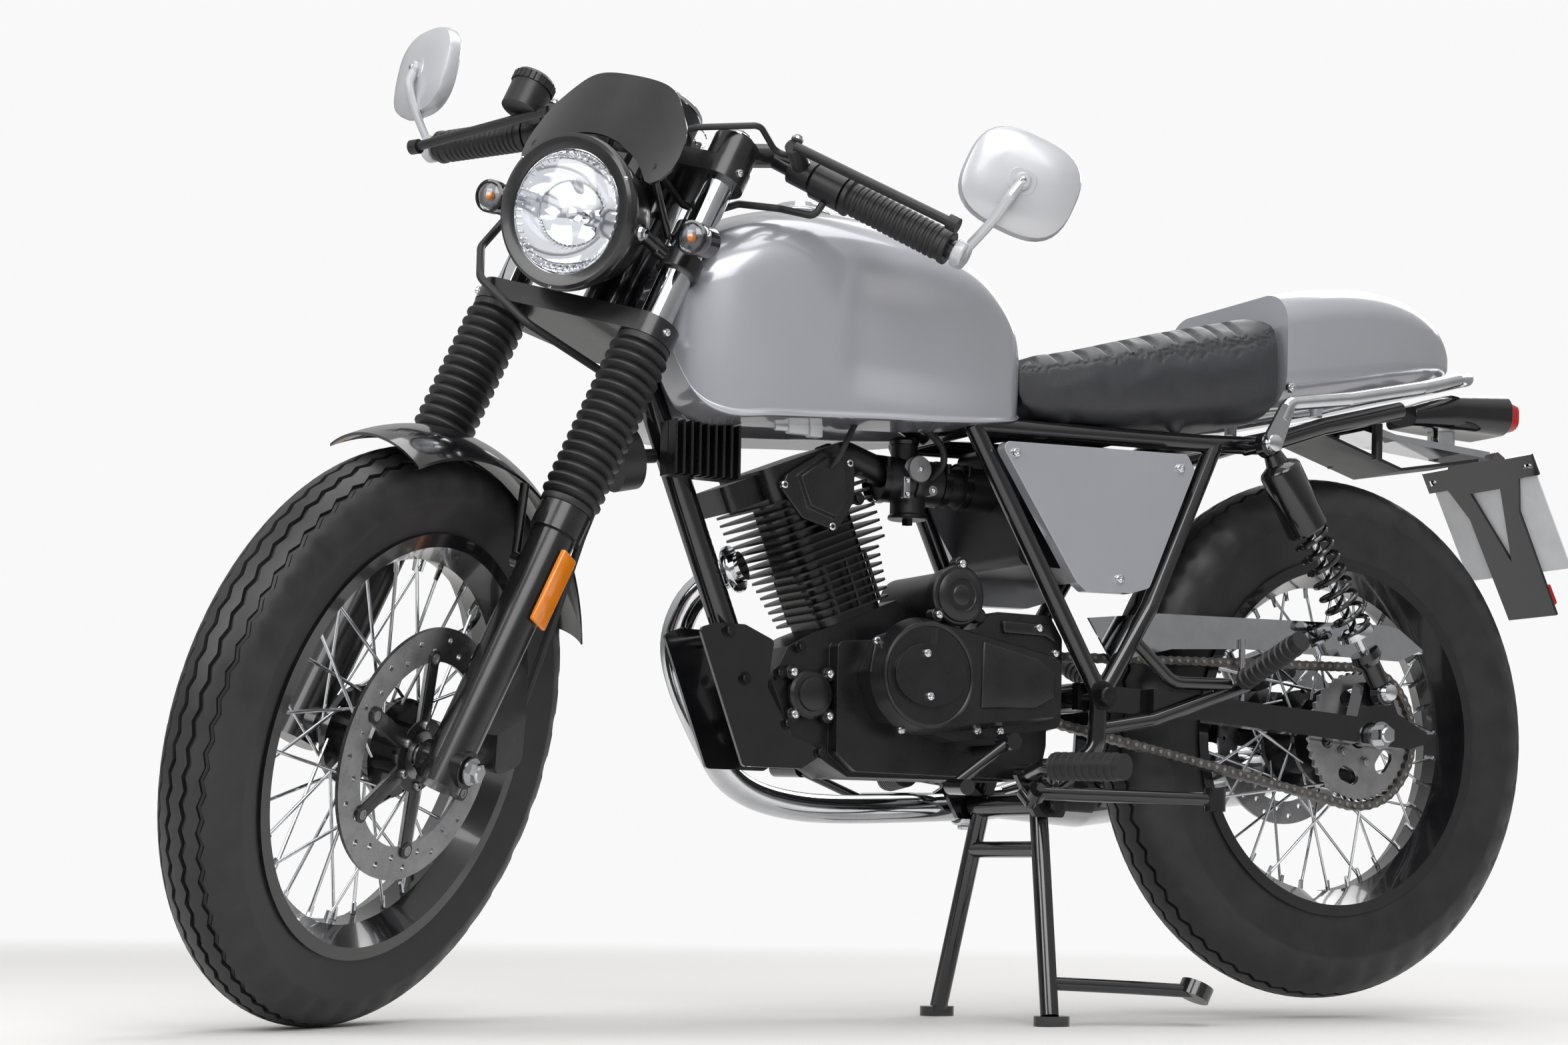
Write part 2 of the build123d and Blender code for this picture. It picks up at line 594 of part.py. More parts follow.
# Hand controls: a perch round the bar, a lever ahead of the grip, a brake reservoir on the right
LEVER_AHEAD = 46.0
LEVER_DROP = (-22.0, 14.0)  # right, left
PERCH_R = 10.0
with BuildPart() as hand_controls:
    for side, lever_up in zip(FORK_SIDES, LEVER_DROP):
        rod(on_bar(side, 0.13), on_bar(side, 0.24), BAR_R + 6)
        rod(on_bar(side, 0.26), on_bar(side, 0.41), GRIP_R + 4)
        rod(on_bar(side, 0.19), on_bar(side, 0.19, ahead=LEVER_AHEAD, up=lever_up / 3), PERCH_R)
        rod(on_bar(side, 0.20, ahead=LEVER_AHEAD, up=lever_up / 3),
            on_bar(side, 1.0, ahead=LEVER_AHEAD - 12, up=lever_up), 5.5)
        rod(on_bar(side, 0.98, ahead=LEVER_AHEAD - 12, up=lever_up),
            on_bar(side, 1.03, ahead=LEVER_AHEAD - 12, up=lever_up), 8.5)
    rod(on_bar(-1, 0.36, ahead=LEVER_AHEAD + 4, up=-6), on_bar(-1, 0.36, ahead=LEVER_AHEAD + 4, up=34), 24)
    for side in FORK_SIDES:
        bore(on_bar(side, 0.10), on_bar(side, 0.415), BAR_R + SHAFT_GAP)
keep("hand_controls", steered(hand_controls.part))

# Mirrors: an arm from each bar end carries a rounded glass that faces the rider
MIRROR_C = (-33.0, 391.0, BAR_OUT[2] + 96)
MIRROR_ARM_W = BAR_OUT[2] + 94
MIRROR_OUTLINE = ((-66, -8), (-58, 22), (-34, 44), (38, 46), (62, 26), (66, -6), (44, -38), (0, -47), (-44, -38))
with BuildPart() as mirrors:
    for side in FORK_SIDES:
        end_face = (BAR_OUT[0], side * BAR_OUT[1], BAR_OUT[2])
        along = (Vector(bar_way.X, side * bar_way.Y, bar_way.Z)).normalized()
        inner = Vector(*end_face) + along * SEAT_GAP
        outer = Vector(*end_face) + along * 13
        rod(tuple(inner), tuple(outer), 15)
        middle = (inner + outer) * 0.5
        tube([tuple(middle), (-9, side * 398, MIRROR_ARM_W - 38), (4, side * 378, MIRROR_ARM_W)], 5.5, 10)
        mirror_plane = Plane(origin=(MIRROR_C[0], side * MIRROR_C[1], MIRROR_C[2]),
                             x_dir=(-0.5, side * 0.85, 0), z_dir=(0.82, side * 0.48, -0.25))
        with BuildSketch(mirror_plane) as glass:
            with BuildLine():
                Polyline(*MIRROR_OUTLINE, close=True)
            make_face()
            fillet(glass.vertices(), 14)
        extrude(glass.sketch, amount=16)
        rod((4, side * 378, MIRROR_ARM_W), (MIRROR_C[0] + 6, side * (MIRROR_C[1] - 4), MIRROR_C[2]), 8)
keep("mirrors", steered(mirrors.part))

# Front mudguard: a thin arched sheet close over the tyre, carried by a stay to each fork leg
GUARD_R = FRONT_TYRE_R + 22
GUARD_T = 3.0
GUARD_HALF = FRONT_TYRE_W / 2 + 9
GUARD_EDGE = 22.0
GUARD_FRONT = 46.5
GUARD_ARC = 85.5
with BuildPart() as guard_sheet:
    with BuildSketch(Plane.XZ) as guard:
        with BuildLine():
            crown_arc = ThreePointArc((GUARD_R - GUARD_EDGE, -GUARD_HALF), (GUARD_R, 0), (GUARD_R - GUARD_EDGE, GUARD_HALF))
            Line(crown_arc @ 1, (GUARD_R - GUARD_EDGE - GUARD_T, GUARD_HALF))
            ThreePointArc((GUARD_R - GUARD_EDGE - GUARD_T, GUARD_HALF), (GUARD_R - GUARD_T, 0),
                          (GUARD_R - GUARD_EDGE - GUARD_T, -GUARD_HALF))
            Line((GUARD_R - GUARD_EDGE - GUARD_T, -GUARD_HALF), crown_arc @ 0)
        make_face()
    revolve(guard.sketch, axis=Axis.Z, revolution_arc=GUARD_ARC)
stay_turn = radians(84.0)
stay_r = GUARD_R - GUARD_EDGE - 2
stay_foot = FORK_HALF - LEG_R - SEAT_GAP
with BuildPart() as front_mudguard:
    add(guard_sheet.part.moved(Location((0, 0, 0), (0, 0, -GUARD_FRONT - GUARD_ARC))).moved(FRONT_WHEEL.location))
    for side in FORK_SIDES:
        top = (FORK_OFFSET + stay_r * cos(stay_turn), side * (GUARD_HALF - 1), stay_r * sin(stay_turn))
        rod(top, (FORK_OFFSET, side * (stay_foot - 7), 236), 5)
        rod((FORK_OFFSET, side * (stay_foot - 9), 236), (FORK_OFFSET, side * stay_foot, 236), 9)
keep("front_mudguard", steered(front_mudguard.part))

# Front brake caliper astride the disc, behind the left leg
CALIPER_TURN = 218.0
CALIPER_DEPTH = 52.0
with BuildPart() as front_caliper:
    with BuildSketch(Plane.XY.offset(FRONT_DISC_Y - 22)):
        with PolarLocations(FRONT_DISC_R - 11, 1, start_angle=CALIPER_TURN):
            RectangleRounded(CALIPER_DEPTH, 84, 12)
    extrude(amount=54)
    with BuildSketch(Plane.XY.offset(FRONT_DISC_Y - DISC_T / 2 - TURN_GAP)):
        Circle(FRONT_DISC_R + TURN_GAP)
    extrude(amount=DISC_T + 2 * TURN_GAP, mode=Mode.SUBTRACT)
keep("front_caliper", steered(front_caliper.part.moved(FRONT_WHEEL.location)))

# The brake hose and the cables of the bars all ride on the fork. The hose climbs behind the left
# leg, crosses under the lower clamp and rises ahead of the right fork tube.
HOSE_R = 4.5
CABLE_R = 3.5
hose_turn = radians(CALIPER_TURN)
hose_from = FRONT_DISC_R - 11 + CALIPER_DEPTH / 2 + SEAT_GAP
hose_start = (FORK_OFFSET + hose_from * cos(hose_turn), FRONT_DISC_Y + 6, -hose_from * sin(hose_turn))
hose_bend = (FORK_OFFSET + (hose_from + 24) * cos(hose_turn), FRONT_DISC_Y + 6,
             -(hose_from + 24) * sin(hose_turn))
right_perch = on_bar(-1, 0.19, ahead=LEVER_AHEAD - 6, up=LEVER_DROP[0] / 3)
clamp_under = LOWER_CLAMP_W - 23
HOSE_ROUTE = [
    hose_start, hose_bend, (-50, 78, 210), (-14, 88, 300), (-14, 80, clamp_under - 48),
    (-10, 40, clamp_under), (80, -30, clamp_under), (98, -100, clamp_under + 32),
    (70, -138, clamp_under + 82), (42, -140, clamp_under + 152),
    (right_perch[0], right_perch[1], right_perch[2] - 50),
    (right_perch[0], right_perch[1], right_perch[2] - PERCH_R - SEAT_GAP),
]
# Where a cable comes down on the rounded back of the lamp: place along the lamp, radius there
LAMP_ENTRY = (-73.0, 61.0)


def lamp_entry(v, above):
    """A point above the rounded back of the lamp, at a distance from its middle."""
    depth, entry_r = LAMP_ENTRY
    up = sqrt(entry_r ** 2 - v ** 2)
    point = Vector(LAMP_U, v, LAMP_W) + LAMP_AHEAD * depth + Vector(LAMP_AHEAD.Z * -up, 0, LAMP_AHEAD.X * up)
    return (point.X, v, point.Z + above)


with BuildPart() as control_cables:
    tube(HOSE_ROUTE, HOSE_R, 20)
    for side, lever_up in zip(FORK_SIDES, LEVER_DROP):
        u, v, w = on_bar(side, 0.19, ahead=LEVER_AHEAD * 0.6, up=lever_up / 5)
        inside = v - side * (PERCH_R + SEAT_GAP)
        tube([(u, inside, w), (u, inside - side * 17, w), (66, side * 123, w + 4), (96, side * 70, w - 30),
              lamp_entry(side * 16, 38), lamp_entry(side * 14, 1.2)], CABLE_R, 13)
    u, v, w = on_bar(1, 0.33)
    pod_low = w - (GRIP_R + 4) * bar_way.length / hypot(bar_way.X, bar_way.Y) - 3 * SEAT_GAP
    tube([(u, v, pod_low), (u - 2, v - 4, pod_low - 16), (-16, 140, pod_low - 14), (-6, 95, UPPER_CLAMP_W + 10),
          (6, 70, UPPER_CLAMP_W - 16), (30, 52, UPPER_CLAMP_W - 24), lamp_entry(34, 32), lamp_entry(34, 3)],
         CABLE_R + 0.5, 10)
keep("control_cables", steered(control_cables.part))

# Frame

head_low = LOWER_CLAMP_W + LOWER_CLAMP_H + 1
head_high = UPPER_CLAMP_W - 1


def from_head(u, w):
    """A point of the frame in x, y and z from its place beside the steering axis."""
    point = STRAIGHT.from_local_coords(Vector(u, 0, w))
    return (point.X, 0, point.Z)


SPINE_R = 20.0
SPINE_BEND = (330.0, 0, 800.0)
SEAT_CROSS = Vector(98, 0, 700)
DOWN_END = (372.0, 0, 440.0)
ENGINE_PLATE_Y = 44.0
ENGINE_PLATE_T = 5.0
plate_inner = ENGINE_PLATE_Y - ENGINE_PLATE_T / 2
PLATE_OUTLINE = [(434, 446), (412, 453), (376, 453), (338, 437), (346, 384), (314, 330), (266, 314), (300, 293),
                 (376, 293)]
spine_way = (SEAT_CROSS - Vector(*SPINE_BEND)).normalized()
spine_end = SEAT_CROSS - spine_way * (TUBE_R + SEAT_GAP)
with BuildPart() as frame_spine:
    rod(from_head(0, head_low), from_head(0, head_high), HEAD_TUBE_R)
    tube([from_head(0, UPPER_CLAMP_W - 66), SPINE_BEND, tuple(spine_end)], SPINE_R, 120)
    rod(from_head(-10, 580), DOWN_END, DOWNTUBE_R)
    rod((386, -ENGINE_PLATE_Y, 440), (386, ENGINE_PLATE_Y, 440), 9)
    for side in (-1, 1):
        y_low = side * ENGINE_PLATE_Y - ENGINE_PLATE_T / 2
        slab(PLATE_OUTLINE, y_low, y_low + ENGINE_PLATE_T, corner=6)
    rod(from_head(-20, 560), from_head(-150, 650), 10)
    bore(from_head(0, head_low - 5), from_head(0, head_high + 5), STEM_R + SEAT_GAP)
keep("frame_spine", frame_spine.part)


LOW_PLATE_Y = STAND_HALF + 23
LOW_PLATE_T = 8.0
RAIL_POINTS = [(98, 700), (-240, 712), (-330, 718), (-430, 752), (-560, 786)]
REST_Y = 121.5
REST_R = 8.0
SHOCK_EYE_HALF = 8.0
SHOCK_PIN_R = 8.0
eye_inner = SHOCK_Y - SHOCK_EYE_HALF - SEAT_GAP
PEG_IN = (33.0, 147.0, 303.0)
PEG_OUT = (-3.0, 252.0, 300.0)


def peg_way(side):
    """The direction of a rider's footrest, outwards."""
    return Vector(PEG_OUT[0] - PEG_IN[0], side * (PEG_OUT[1] - PEG_IN[1]), PEG_OUT[2] - PEG_IN[2]).normalized()


def peg_start(side):
    """Where the rubber of a rider's footrest begins."""
    return Vector(PEG_IN[0], side * PEG_IN[1], PEG_IN[2]) + peg_way(side) * 12


with BuildPart() as frame_rear:
    for side in (-1, 1):
        y = side * RAIL_Y
        low = side * PIVOT_Y
        tube([(x, y, z) for x, z in RAIL_POINTS], TUBE_R, 60)
        tube([(98, y, 700), (-68, low, 394), (-66, low, 330), (-26, side * LOW_PLATE_Y, 280)], TUBE_R, 26)
        tube([(-258, y, 712), (-140, low, 500), (-70, low, 390)], TUBE_R, 60)
        tube([(-68, low, 352), (-140, side * REST_Y, 365), (-284, side * REST_Y, 414)], REST_R, 30)
        tube([(-117, low, 462), (-170, side * REST_Y, 412), (-256, side * REST_Y, 414)], REST_R, 30)
        rod((SHOCK_TOP[0], y, SHOCK_TOP[1]), (SHOCK_TOP[0], side * eye_inner, SHOCK_TOP[1]), SHOCK_PIN_R)
        y_low = side * LOW_PLATE_Y - LOW_PLATE_T / 2
        slab([(STAND_X - 18, STAND_Z - 16), (STAND_X + 22, STAND_Z - 16), (34, 300), (-60, 306)],
             y_low, y_low + LOW_PLATE_T, corner=5)
        tube([(14, y, 294), (33, side * 147, 303), tuple(peg_start(side) - peg_way(side) * SEAT_GAP)], 9, 10)
        rod((6, side * (CRANK_HALF + SEAT_GAP), 302), (6, y, 302), 7)
    for x, z in ((98, 700), (-100, 707), (-240, 712), (-560, 786)):
        rod((x, -RAIL_Y, z), (x, RAIL_Y, z), TUBE_R)
    rod((STAND_X, -LOW_PLATE_Y, STAND_Z), (STAND_X, LOW_PLATE_Y, STAND_Z), STAND_PIVOT_R)
    rod((SWINGARM_X, -PIVOT_Y, SWINGARM_Z), (SWINGARM_X, PIVOT_Y, SWINGARM_Z), SWINGARM_PIN_R)
    rod(tuple(SIDE_PIVOT + side_axis * 24), tuple(SIDE_PIVOT - side_axis * 12), SIDE_PIN_R)
    rod((18, LOW_PLATE_Y, 276), tuple(SIDE_PIVOT + side_axis * 20), 9)
keep("frame_rear", frame_rear.part)

# Engine: the cylinder leans ahead, its fins widen towards the head

CYL_LEAN = 22.0
CYL_FOOT = (234.0, 480.0)
BASE_LOW = -9.0
FIN_PITCH = 9.5
FIN_T = 2.6
FIN_CORNER = 16.0
FIN_BANDS = (
    # count, rear, front, half width
    (7, (-49, -56), (52, 64), (60, 62)),
    (9, (-66, -66), (72, 80), (65, 65)),
)
cyl_axis = Vector(sin(radians(CYL_LEAN)), 0, cos(radians(CYL_LEAN)))
cyl_ahead = Vector(cos(radians(CYL_LEAN)), 0, -sin(radians(CYL_LEAN)))
CYLINDER = Plane(origin=(CYL_FOOT[0], 0, CYL_FOOT[1]), x_dir=cyl_ahead, z_dir=cyl_axis)


def between(pair, share):
    """The value a share of the way from the first of a pair to the second."""
    return pair[0] + (pair[1] - pair[0]) * share


fins = []
for count, rear, front, half in FIN_BANDS:
    for number in range(count):
        share = number / (count - 1)
        fins.append((between(rear, share), between(front, share), between(half, share)))
fin_top = (len(fins) - 1) * FIN_PITCH

with BuildPart() as cylinder:
    with BuildSketch(Plane.XY.offset(BASE_LOW + SEAT_GAP)):
        RectangleRounded(84, 96, 20)
    extrude(amount=fin_top - BASE_LOW)
    for number, (rear, front, half) in enumerate(fins):
        with BuildSketch(Plane.XY.offset(number * FIN_PITCH)):
            with Locations(((rear + front) / 2, 0)):
                RectangleRounded(front - rear, 2 * half, FIN_CORNER)
        extrude(amount=FIN_T)
    for v in (-58, 58):
        with BuildSketch(Plane.XY):
            with Locations((-30, v), (-2, v), (28, v)):
                Rectangle(3, 4)
        extrude(amount=6.4 * FIN_PITCH)
    with BuildSketch(Plane.XY.offset(fin_top)):
        with Locations((8, 0)):
            RectangleRounded(112, 118, 14)
    extrude(amount=42)
    with BuildSketch(Plane.XY.offset(fin_top + 8)):
        with Locations((84, 0)):
            RectangleRounded(50, 76, 10)
    extrude(amount=30)
cylinder_place = CYLINDER.location
keep("cylinder", cylinder.part.moved(cylinder_place))

head_cover_plane = Plane(origin=CYLINDER.from_local_coords(Vector(0, FIN_BANDS[1][3][1] + SEAT_GAP, 0)),
                         x_dir=cyl_ahead, z_dir=(0, -1, 0))
SHIELD = ((-10, 182), (-38, 172), (-48, 161), (-30, 117), (4, 92), (42, 120), (56, 158), (44, 172))
RAISED = ((-10, 178), (-34, 168), (-24, 120), (4, 104), (34, 128), (34, 168))
with BuildPart() as head_cover:
    with BuildSketch(head_cover_plane) as shield:
        with BuildLine():
            Polyline(*SHIELD, close=True)
        make_face()
        fillet(shield.vertices(), 6)
    extrude(shield.sketch, amount=-5)
    with BuildSketch(head_cover_plane) as raised:
        with BuildLine():
            Polyline(*RAISED, close=True)
        make_face()
    extrude(raised.sketch, amount=-11, taper=20)
keep("head_cover", head_cover.part)


def in_cylinder(ahead, up, y=0.0):
    """A point in x, y and z from its place along the leaning cylinder."""
    point = CYLINDER.from_local_coords(Vector(ahead, y, up))
    return (point.X, point.Y, point.Z)


deck_rear = in_cylinder(-62, BASE_LOW)
deck_front = in_cylinder(58, BASE_LOW)
with BuildPart() as crankcase:
    slab([(338, 392), (310, 330), (262, 300), (236, 286), (20, 288), (-34, 330), (-34, 452), (60, 462), (150, 462),
          (deck_rear[0], deck_rear[2]), (deck_front[0], deck_front[2]), (318, 432)],
         -plate_inner + SEAT_GAP, plate_inner - SEAT_GAP)
    slab([(262, 440), (262, 312), (236, 292), (-20, 290), (-30, 332), (-30, 448), (60, 460)],
         -CRANK_HALF, CRANK_HALF, corner=8)
    with BuildSketch(side_plane(-CRANK_HALF)) as clutch:
        with Locations((92, 384)):
            Circle(76)
        with Locations((206, 378)):
            Circle(50)
        make_hull()
    extrude(clutch.sketch, amount=34, taper=10)
keep("crankcase", crankcase.part)

COVER_Y = 112.0
COVER_BASE_Y = 92.0
ROTOR_C = (171.0, 403.0)
ROTOR_R = 67.0
STARTER_C = (121.0, 499.0)
with BuildPart() as left_cover:
    with BuildSketch(side_plane(COVER_Y)) as generator:
        with Locations(ROTOR_C):
            Circle(ROTOR_R - 6)
        with Locations((14, 398)):
            RectangleRounded(56, 70, 12)
        make_hull()
    extrude(generator.sketch, amount=COVER_Y - COVER_BASE_Y, taper=-18)
    with BuildSketch(side_plane(COVER_Y + 5)) as cap:
        with Locations(ROTOR_C):
            Ellipse(48, 36)
    extrude(cap.sketch, amount=6)
    slab([(238, 404), (214, 450), (150, 462), (97, 460), (68, 484), (-10, 484), (-28, 458), (-28, 352), (120, 330), (216, 352)],
         CRANK_HALF + SEAT_GAP, COVER_BASE_Y, corner=12)
    slab([(-60, 350), (-60, 460), (62, 460), (62, 350)], CRANK_HALF + 4, COVER_BASE_Y - 4, mode=Mode.SUBTRACT)
keep("left_engine_cover", left_cover.part)

with BuildPart() as starter:
    with BuildSketch(side_plane(92)) as nose:
        with Locations(STARTER_C):
            Circle(34)
            Circle(22, mode=Mode.SUBTRACT)
    extrude(nose.sketch, amount=14)
    with BuildSketch(side_plane(88)) as motor:
        with Locations(STARTER_C):
            Circle(30)
    extrude(motor.sketch, amount=120)
    rod((STARTER_C[0], 20, 462 + SEAT_GAP), (STARTER_C[0], 20, 480), 14)
keep("starter", starter.part)

AIRBOX_FRONT = 20.0
AIRBOX_HALF = 68.0
PORT_UP = fin_top + 24
intake_port = in_cylinder(-48 - SEAT_GAP, PORT_UP)
intake_flange = in_cylinder(-62, PORT_UP)
with BuildPart() as intake:
    rod(intake_port, intake_flange, 20)
    tube([intake_port, in_cylinder(-80, PORT_UP), (150, 0, 642)], 17, 12)
    rod((172, 0, 642), (98, 0, 641), 27)
    rod((134, 0, 596), (134, 0, 642), 21)
    rod((138, 0, 640), (140, 0, 684), 16)
    rod((100, 0, 641), (60, 0, 640), 22)
    rod((66, 0, 640), (AIRBOX_FRONT + SEAT_GAP, 0, 640), 26)
keep("intake", intake.part)

with BuildPart() as airbox:
    slab([(AIRBOX_FRONT, 695.7), (-196, 695.7), (-150, 545), (AIRBOX_FRONT, 545)], -AIRBOX_HALF, AIRBOX_HALF, corner=14)
keep("airbox", airbox.part)

REGULATOR_FINS = 9
REGULATOR_TOP = 675.0
REGULATOR_LOW = 615.0
with BuildPart() as regulator:
    slab([(472, REGULATOR_TOP), (388, REGULATOR_TOP), (388, REGULATOR_LOW), (472, REGULATOR_LOW)],
         DOWNTUBE_R + SEAT_GAP, 34)
    for fin in range(REGULATOR_FINS):
        x = 390 + fin * 80 / (REGULATOR_FINS - 1)
        slab([(x - 1.5, REGULATOR_TOP), (x + 1.5, REGULATOR_TOP), (x + 1.5, REGULATOR_LOW),
              (x - 1.5, REGULATOR_LOW)], 33, 52)
keep("regulator", regulator.part)

with BuildPart() as horn:
    rod((500, 0, 636), (526, 0, 630), 36)
    rod((471.2, 0, 640), (502, 0, 636), 8)
keep("horn", horn.part)

# Exhaust: out of the head, past the downtube on the right, down and back under the engine

EXHAUST_ROUTE = [
    # x, y, z
    (352, -6, 526), (386, -46, 508), (409, -67, 452), (401, -70, 400), (362, -74, 330), (322, -82, 276),
    (240, -98, 254), (120, -110, 253), (-20, -112, 262),
]
with BuildPart() as exhaust_header:
    tube(EXHAUST_ROUTE, EXHAUST_R, 24)
keep("exhaust_header", exhaust_header.part)

header_end = Vector(*EXHAUST_ROUTE[-1])
header_way = (header_end - Vector(*EXHAUST_ROUTE[-2])).normalized()
silencer_start = header_end + header_way * 3
silencer_way = Vector(*SILENCER_END) - silencer_start
SILENCER = Plane(origin=silencer_start, z_dir=silencer_way)
with BuildPart() as silencer_body:
    turned_section([(0, 0), (EXHAUST_R + 3, 0), (EXHAUST_R + 3, 60), (SILENCER_R, 190), (SILENCER_R, 500),
                    (SILENCER_R - 8, silencer_way.length), (18, silencer_way.length),
                    (16, silencer_way.length - 60), (0, silencer_way.length - 60)])
hanger_y = -REST_Y - 8 - SEAT_GAP
with BuildPart() as silencer:
    add(silencer_body.part.moved(SILENCER.location))
    slab([(-240, 300), (-208, 300), (-214, 408), (-234, 408)], hanger_y - 5, hanger_y)
keep("silencer", silencer.part)

# Tank, seat and cowl, lofted over a few cross sections


def lofted(table, corner_share):
    """A body lofted over rounded sections: x, half width, bottom and top height."""
    sections = []
    for x, half_w, z_low, z_high in table:
        plane = Plane(origin=(x, 0, (z_low + z_high) / 2), x_dir=(0, 1, 0), z_dir=(1, 0, 0))
        half_h = (z_high - z_low) / 2
        corner = min(half_w, half_h) * corner_share
        with BuildSketch(plane) as section:
            RectangleRounded(2 * half_w, 2 * half_h, corner)
        sections.append(section.sketch)
    loft(sections)


def tank_body(grow=0.0):
    """The tank lofted over sections with a tucked foot, nearly flat sides and a round top."""
    sections = []
    for x, half_w, z_low, z_high in TANK_SECTIONS:
        w = half_w + grow
        low, high = z_low - grow, z_high + grow
        tuck = (high - low) * 0.16
        shoulder = low + (high - low) * 0.46
        with BuildSketch(Plane(origin=(x, 0, 0), x_dir=(0, 1, 0), z_dir=(1, 0, 0))) as section:
            with BuildLine():
                Polyline((-w, shoulder), (-w, low + tuck), (-w * 0.9, low), (w * 0.9, low), (w, low + tuck),
                         (w, shoulder))
                Bezier((w, shoulder), (w, shoulder + (high - shoulder) * 0.66), (w * 0.62, high), (0, high))
                Bezier((0, high), (-w * 0.62, high), (-w, shoulder + (high - shoulder) * 0.66), (-w, shoulder))
            make_face()
        sections.append(section.sketch)
    loft(sections)


TANK_SECTIONS = (
    # x, half width, bottom, top
    (30, 78, 722, 794),
    (62, 98, 708, 860),
    (112, 116, 698, 906),
    (240, 125, 688, 932),
    (350, 123, 682, 929),
    (434, 106, 680, 898),
    (476, 84, 712, 862),
    (497, 60, 752, 826),
)
TUNNEL_HALF = HEAD_TUBE_R + 4
with BuildPart() as fuel_tank:
    tank_body()
    slab([(0, 640), (600, 640), (600, 980), (462, 980), (444, 884), (330, 826), (98, 736), (0, 736)],
         -TUNNEL_HALF, TUNNEL_HALF, mode=Mode.SUBTRACT)
    slab([(0, 640), (118, 640), (118, 713), (0, 713)], -RAIL_Y - 14, RAIL_Y + 14, mode=Mode.SUBTRACT)
    bore((290, 0, 922), (290, 0, 960), 32 + SEAT_GAP)
keep("fuel_tank", fuel_tank.part.solids().sort_by(SortBy.VOLUME)[-1])

with BuildPart() as fuel_cap:
    rod((290, 0, 922 + SEAT_GAP), (290, 0, 940), 32)
keep("fuel_cap", fuel_cap.part)

SEAT_SECTIONS = (
    # x, half width, bottom, top
    (62, 84, 734, 784),
    (0, 102, 724, 790),
    (-110, 122, 726, 818),
    (-230, 128, 738, 850),
    (-336, 124, 752, 878),
)
with BuildPart() as tank_room:
    tank_body(grow=1.5)
with BuildPart() as seat:
    lofted(SEAT_SECTIONS, 0.5)
    add(tank_room.part, mode=Mode.SUBTRACT)
    for side in (-1, 1):
        rod((-30, side * RAIL_Y, 706.5 + TUBE_R + SEAT_GAP), (-30, side * RAIL_Y, 745), 9)
        rod((-200, side * RAIL_Y, 711.4 + TUBE_R + SEAT_GAP), (-200, side * RAIL_Y, 760), 9)
keep("seat", seat.part.solids().sort_by(SortBy.VOLUME)[-1])

COWL_SECTIONS = (
    # x, half width, bottom, top
    (-342, 120, 764, 908),
    (-430, 113, 780, 928),
    (-550, 90, 808, 938),
    (-640, 60, 834, 922),
    (-702, 20, 858, 886),
)
with BuildPart() as tail_cowl:
    lofted(COWL_SECTIONS, 0.6)
    for side in (-1, 1):
        rod((-420, side * RAIL_Y, 763.3), (-420, side * RAIL_Y, 800), 8)
keep("tail_cowl", tail_cowl.part)

RAIL_LUG_Y = SHOCK_Y + SHOCK_EYE_HALF + SEAT_GAP
with BuildPart() as grab_rail:
    half = [(-322, 133, 742), (-334, 133, 764), (-430, 131, 780), (-570, 110, 812), (-664, 78, 838)]
    tube(half + [(-716, 44, 850), (-716, -44, 850)] + [(x, -y, z) for x, y, z in reversed(half)], 9, 16)
    for side in (-1, 1):
        y_low = RAIL_LUG_Y if side > 0 else -RAIL_LUG_Y - 5
        slab([(-316, 703), (-298, 701), (-294, 722), (-318, 762), (-338, 758)], y_low, y_low + 5, corner=4)
keep("grab_rail", grab_rail.part)

LAMP_FLOOR = 784.0
LAMP_BACK_X = -794.0
with BuildPart() as tail_bracket:
    slab([(-545, 766), (-600, 758), (-772.7, 750), (-767.4, 759.6), (-600, 766.5), (-560, 774.7)], -34, 34)
    rod((-712, 0, 756), (-712, 0, LAMP_FLOOR - SEAT_GAP), 18)
keep("tail_bracket", tail_bracket.part)

LAMP_SECTIONS = (
    # x, width, height
    (-640, 58, 26),
    (-700, 86, 46),
    (LAMP_BACK_X, 98, 55),
)
with BuildPart() as tail_lamp:
    lamp_faces = []
    for x, width, height in LAMP_SECTIONS:
        middle = LAMP_FLOOR + height / 2
        with BuildSketch(Plane(origin=(x, 0, middle), x_dir=(0, 1, 0), z_dir=(-1, 0, 0))) as lamp_face:
            RectangleRounded(width, height, height * 0.4)
        lamp_faces.append(lamp_face.sketch)
    loft(lamp_faces, ruled=True)
keep("tail_lamp", tail_lamp.part)

lens_middle = LAMP_FLOOR + LAMP_SECTIONS[-1][2] / 2
with BuildPart() as tail_lens:
    with BuildSketch(Plane(origin=(LAMP_BACK_X - SEAT_GAP, 0, lens_middle), x_dir=(0, 1, 0), z_dir=(-1, 0, 0))) as lens_back:
        RectangleRounded(92, 49, 19)
    extrude(lens_back.sketch, amount=22, taper=16)
keep("tail_lens", tail_lens.part)

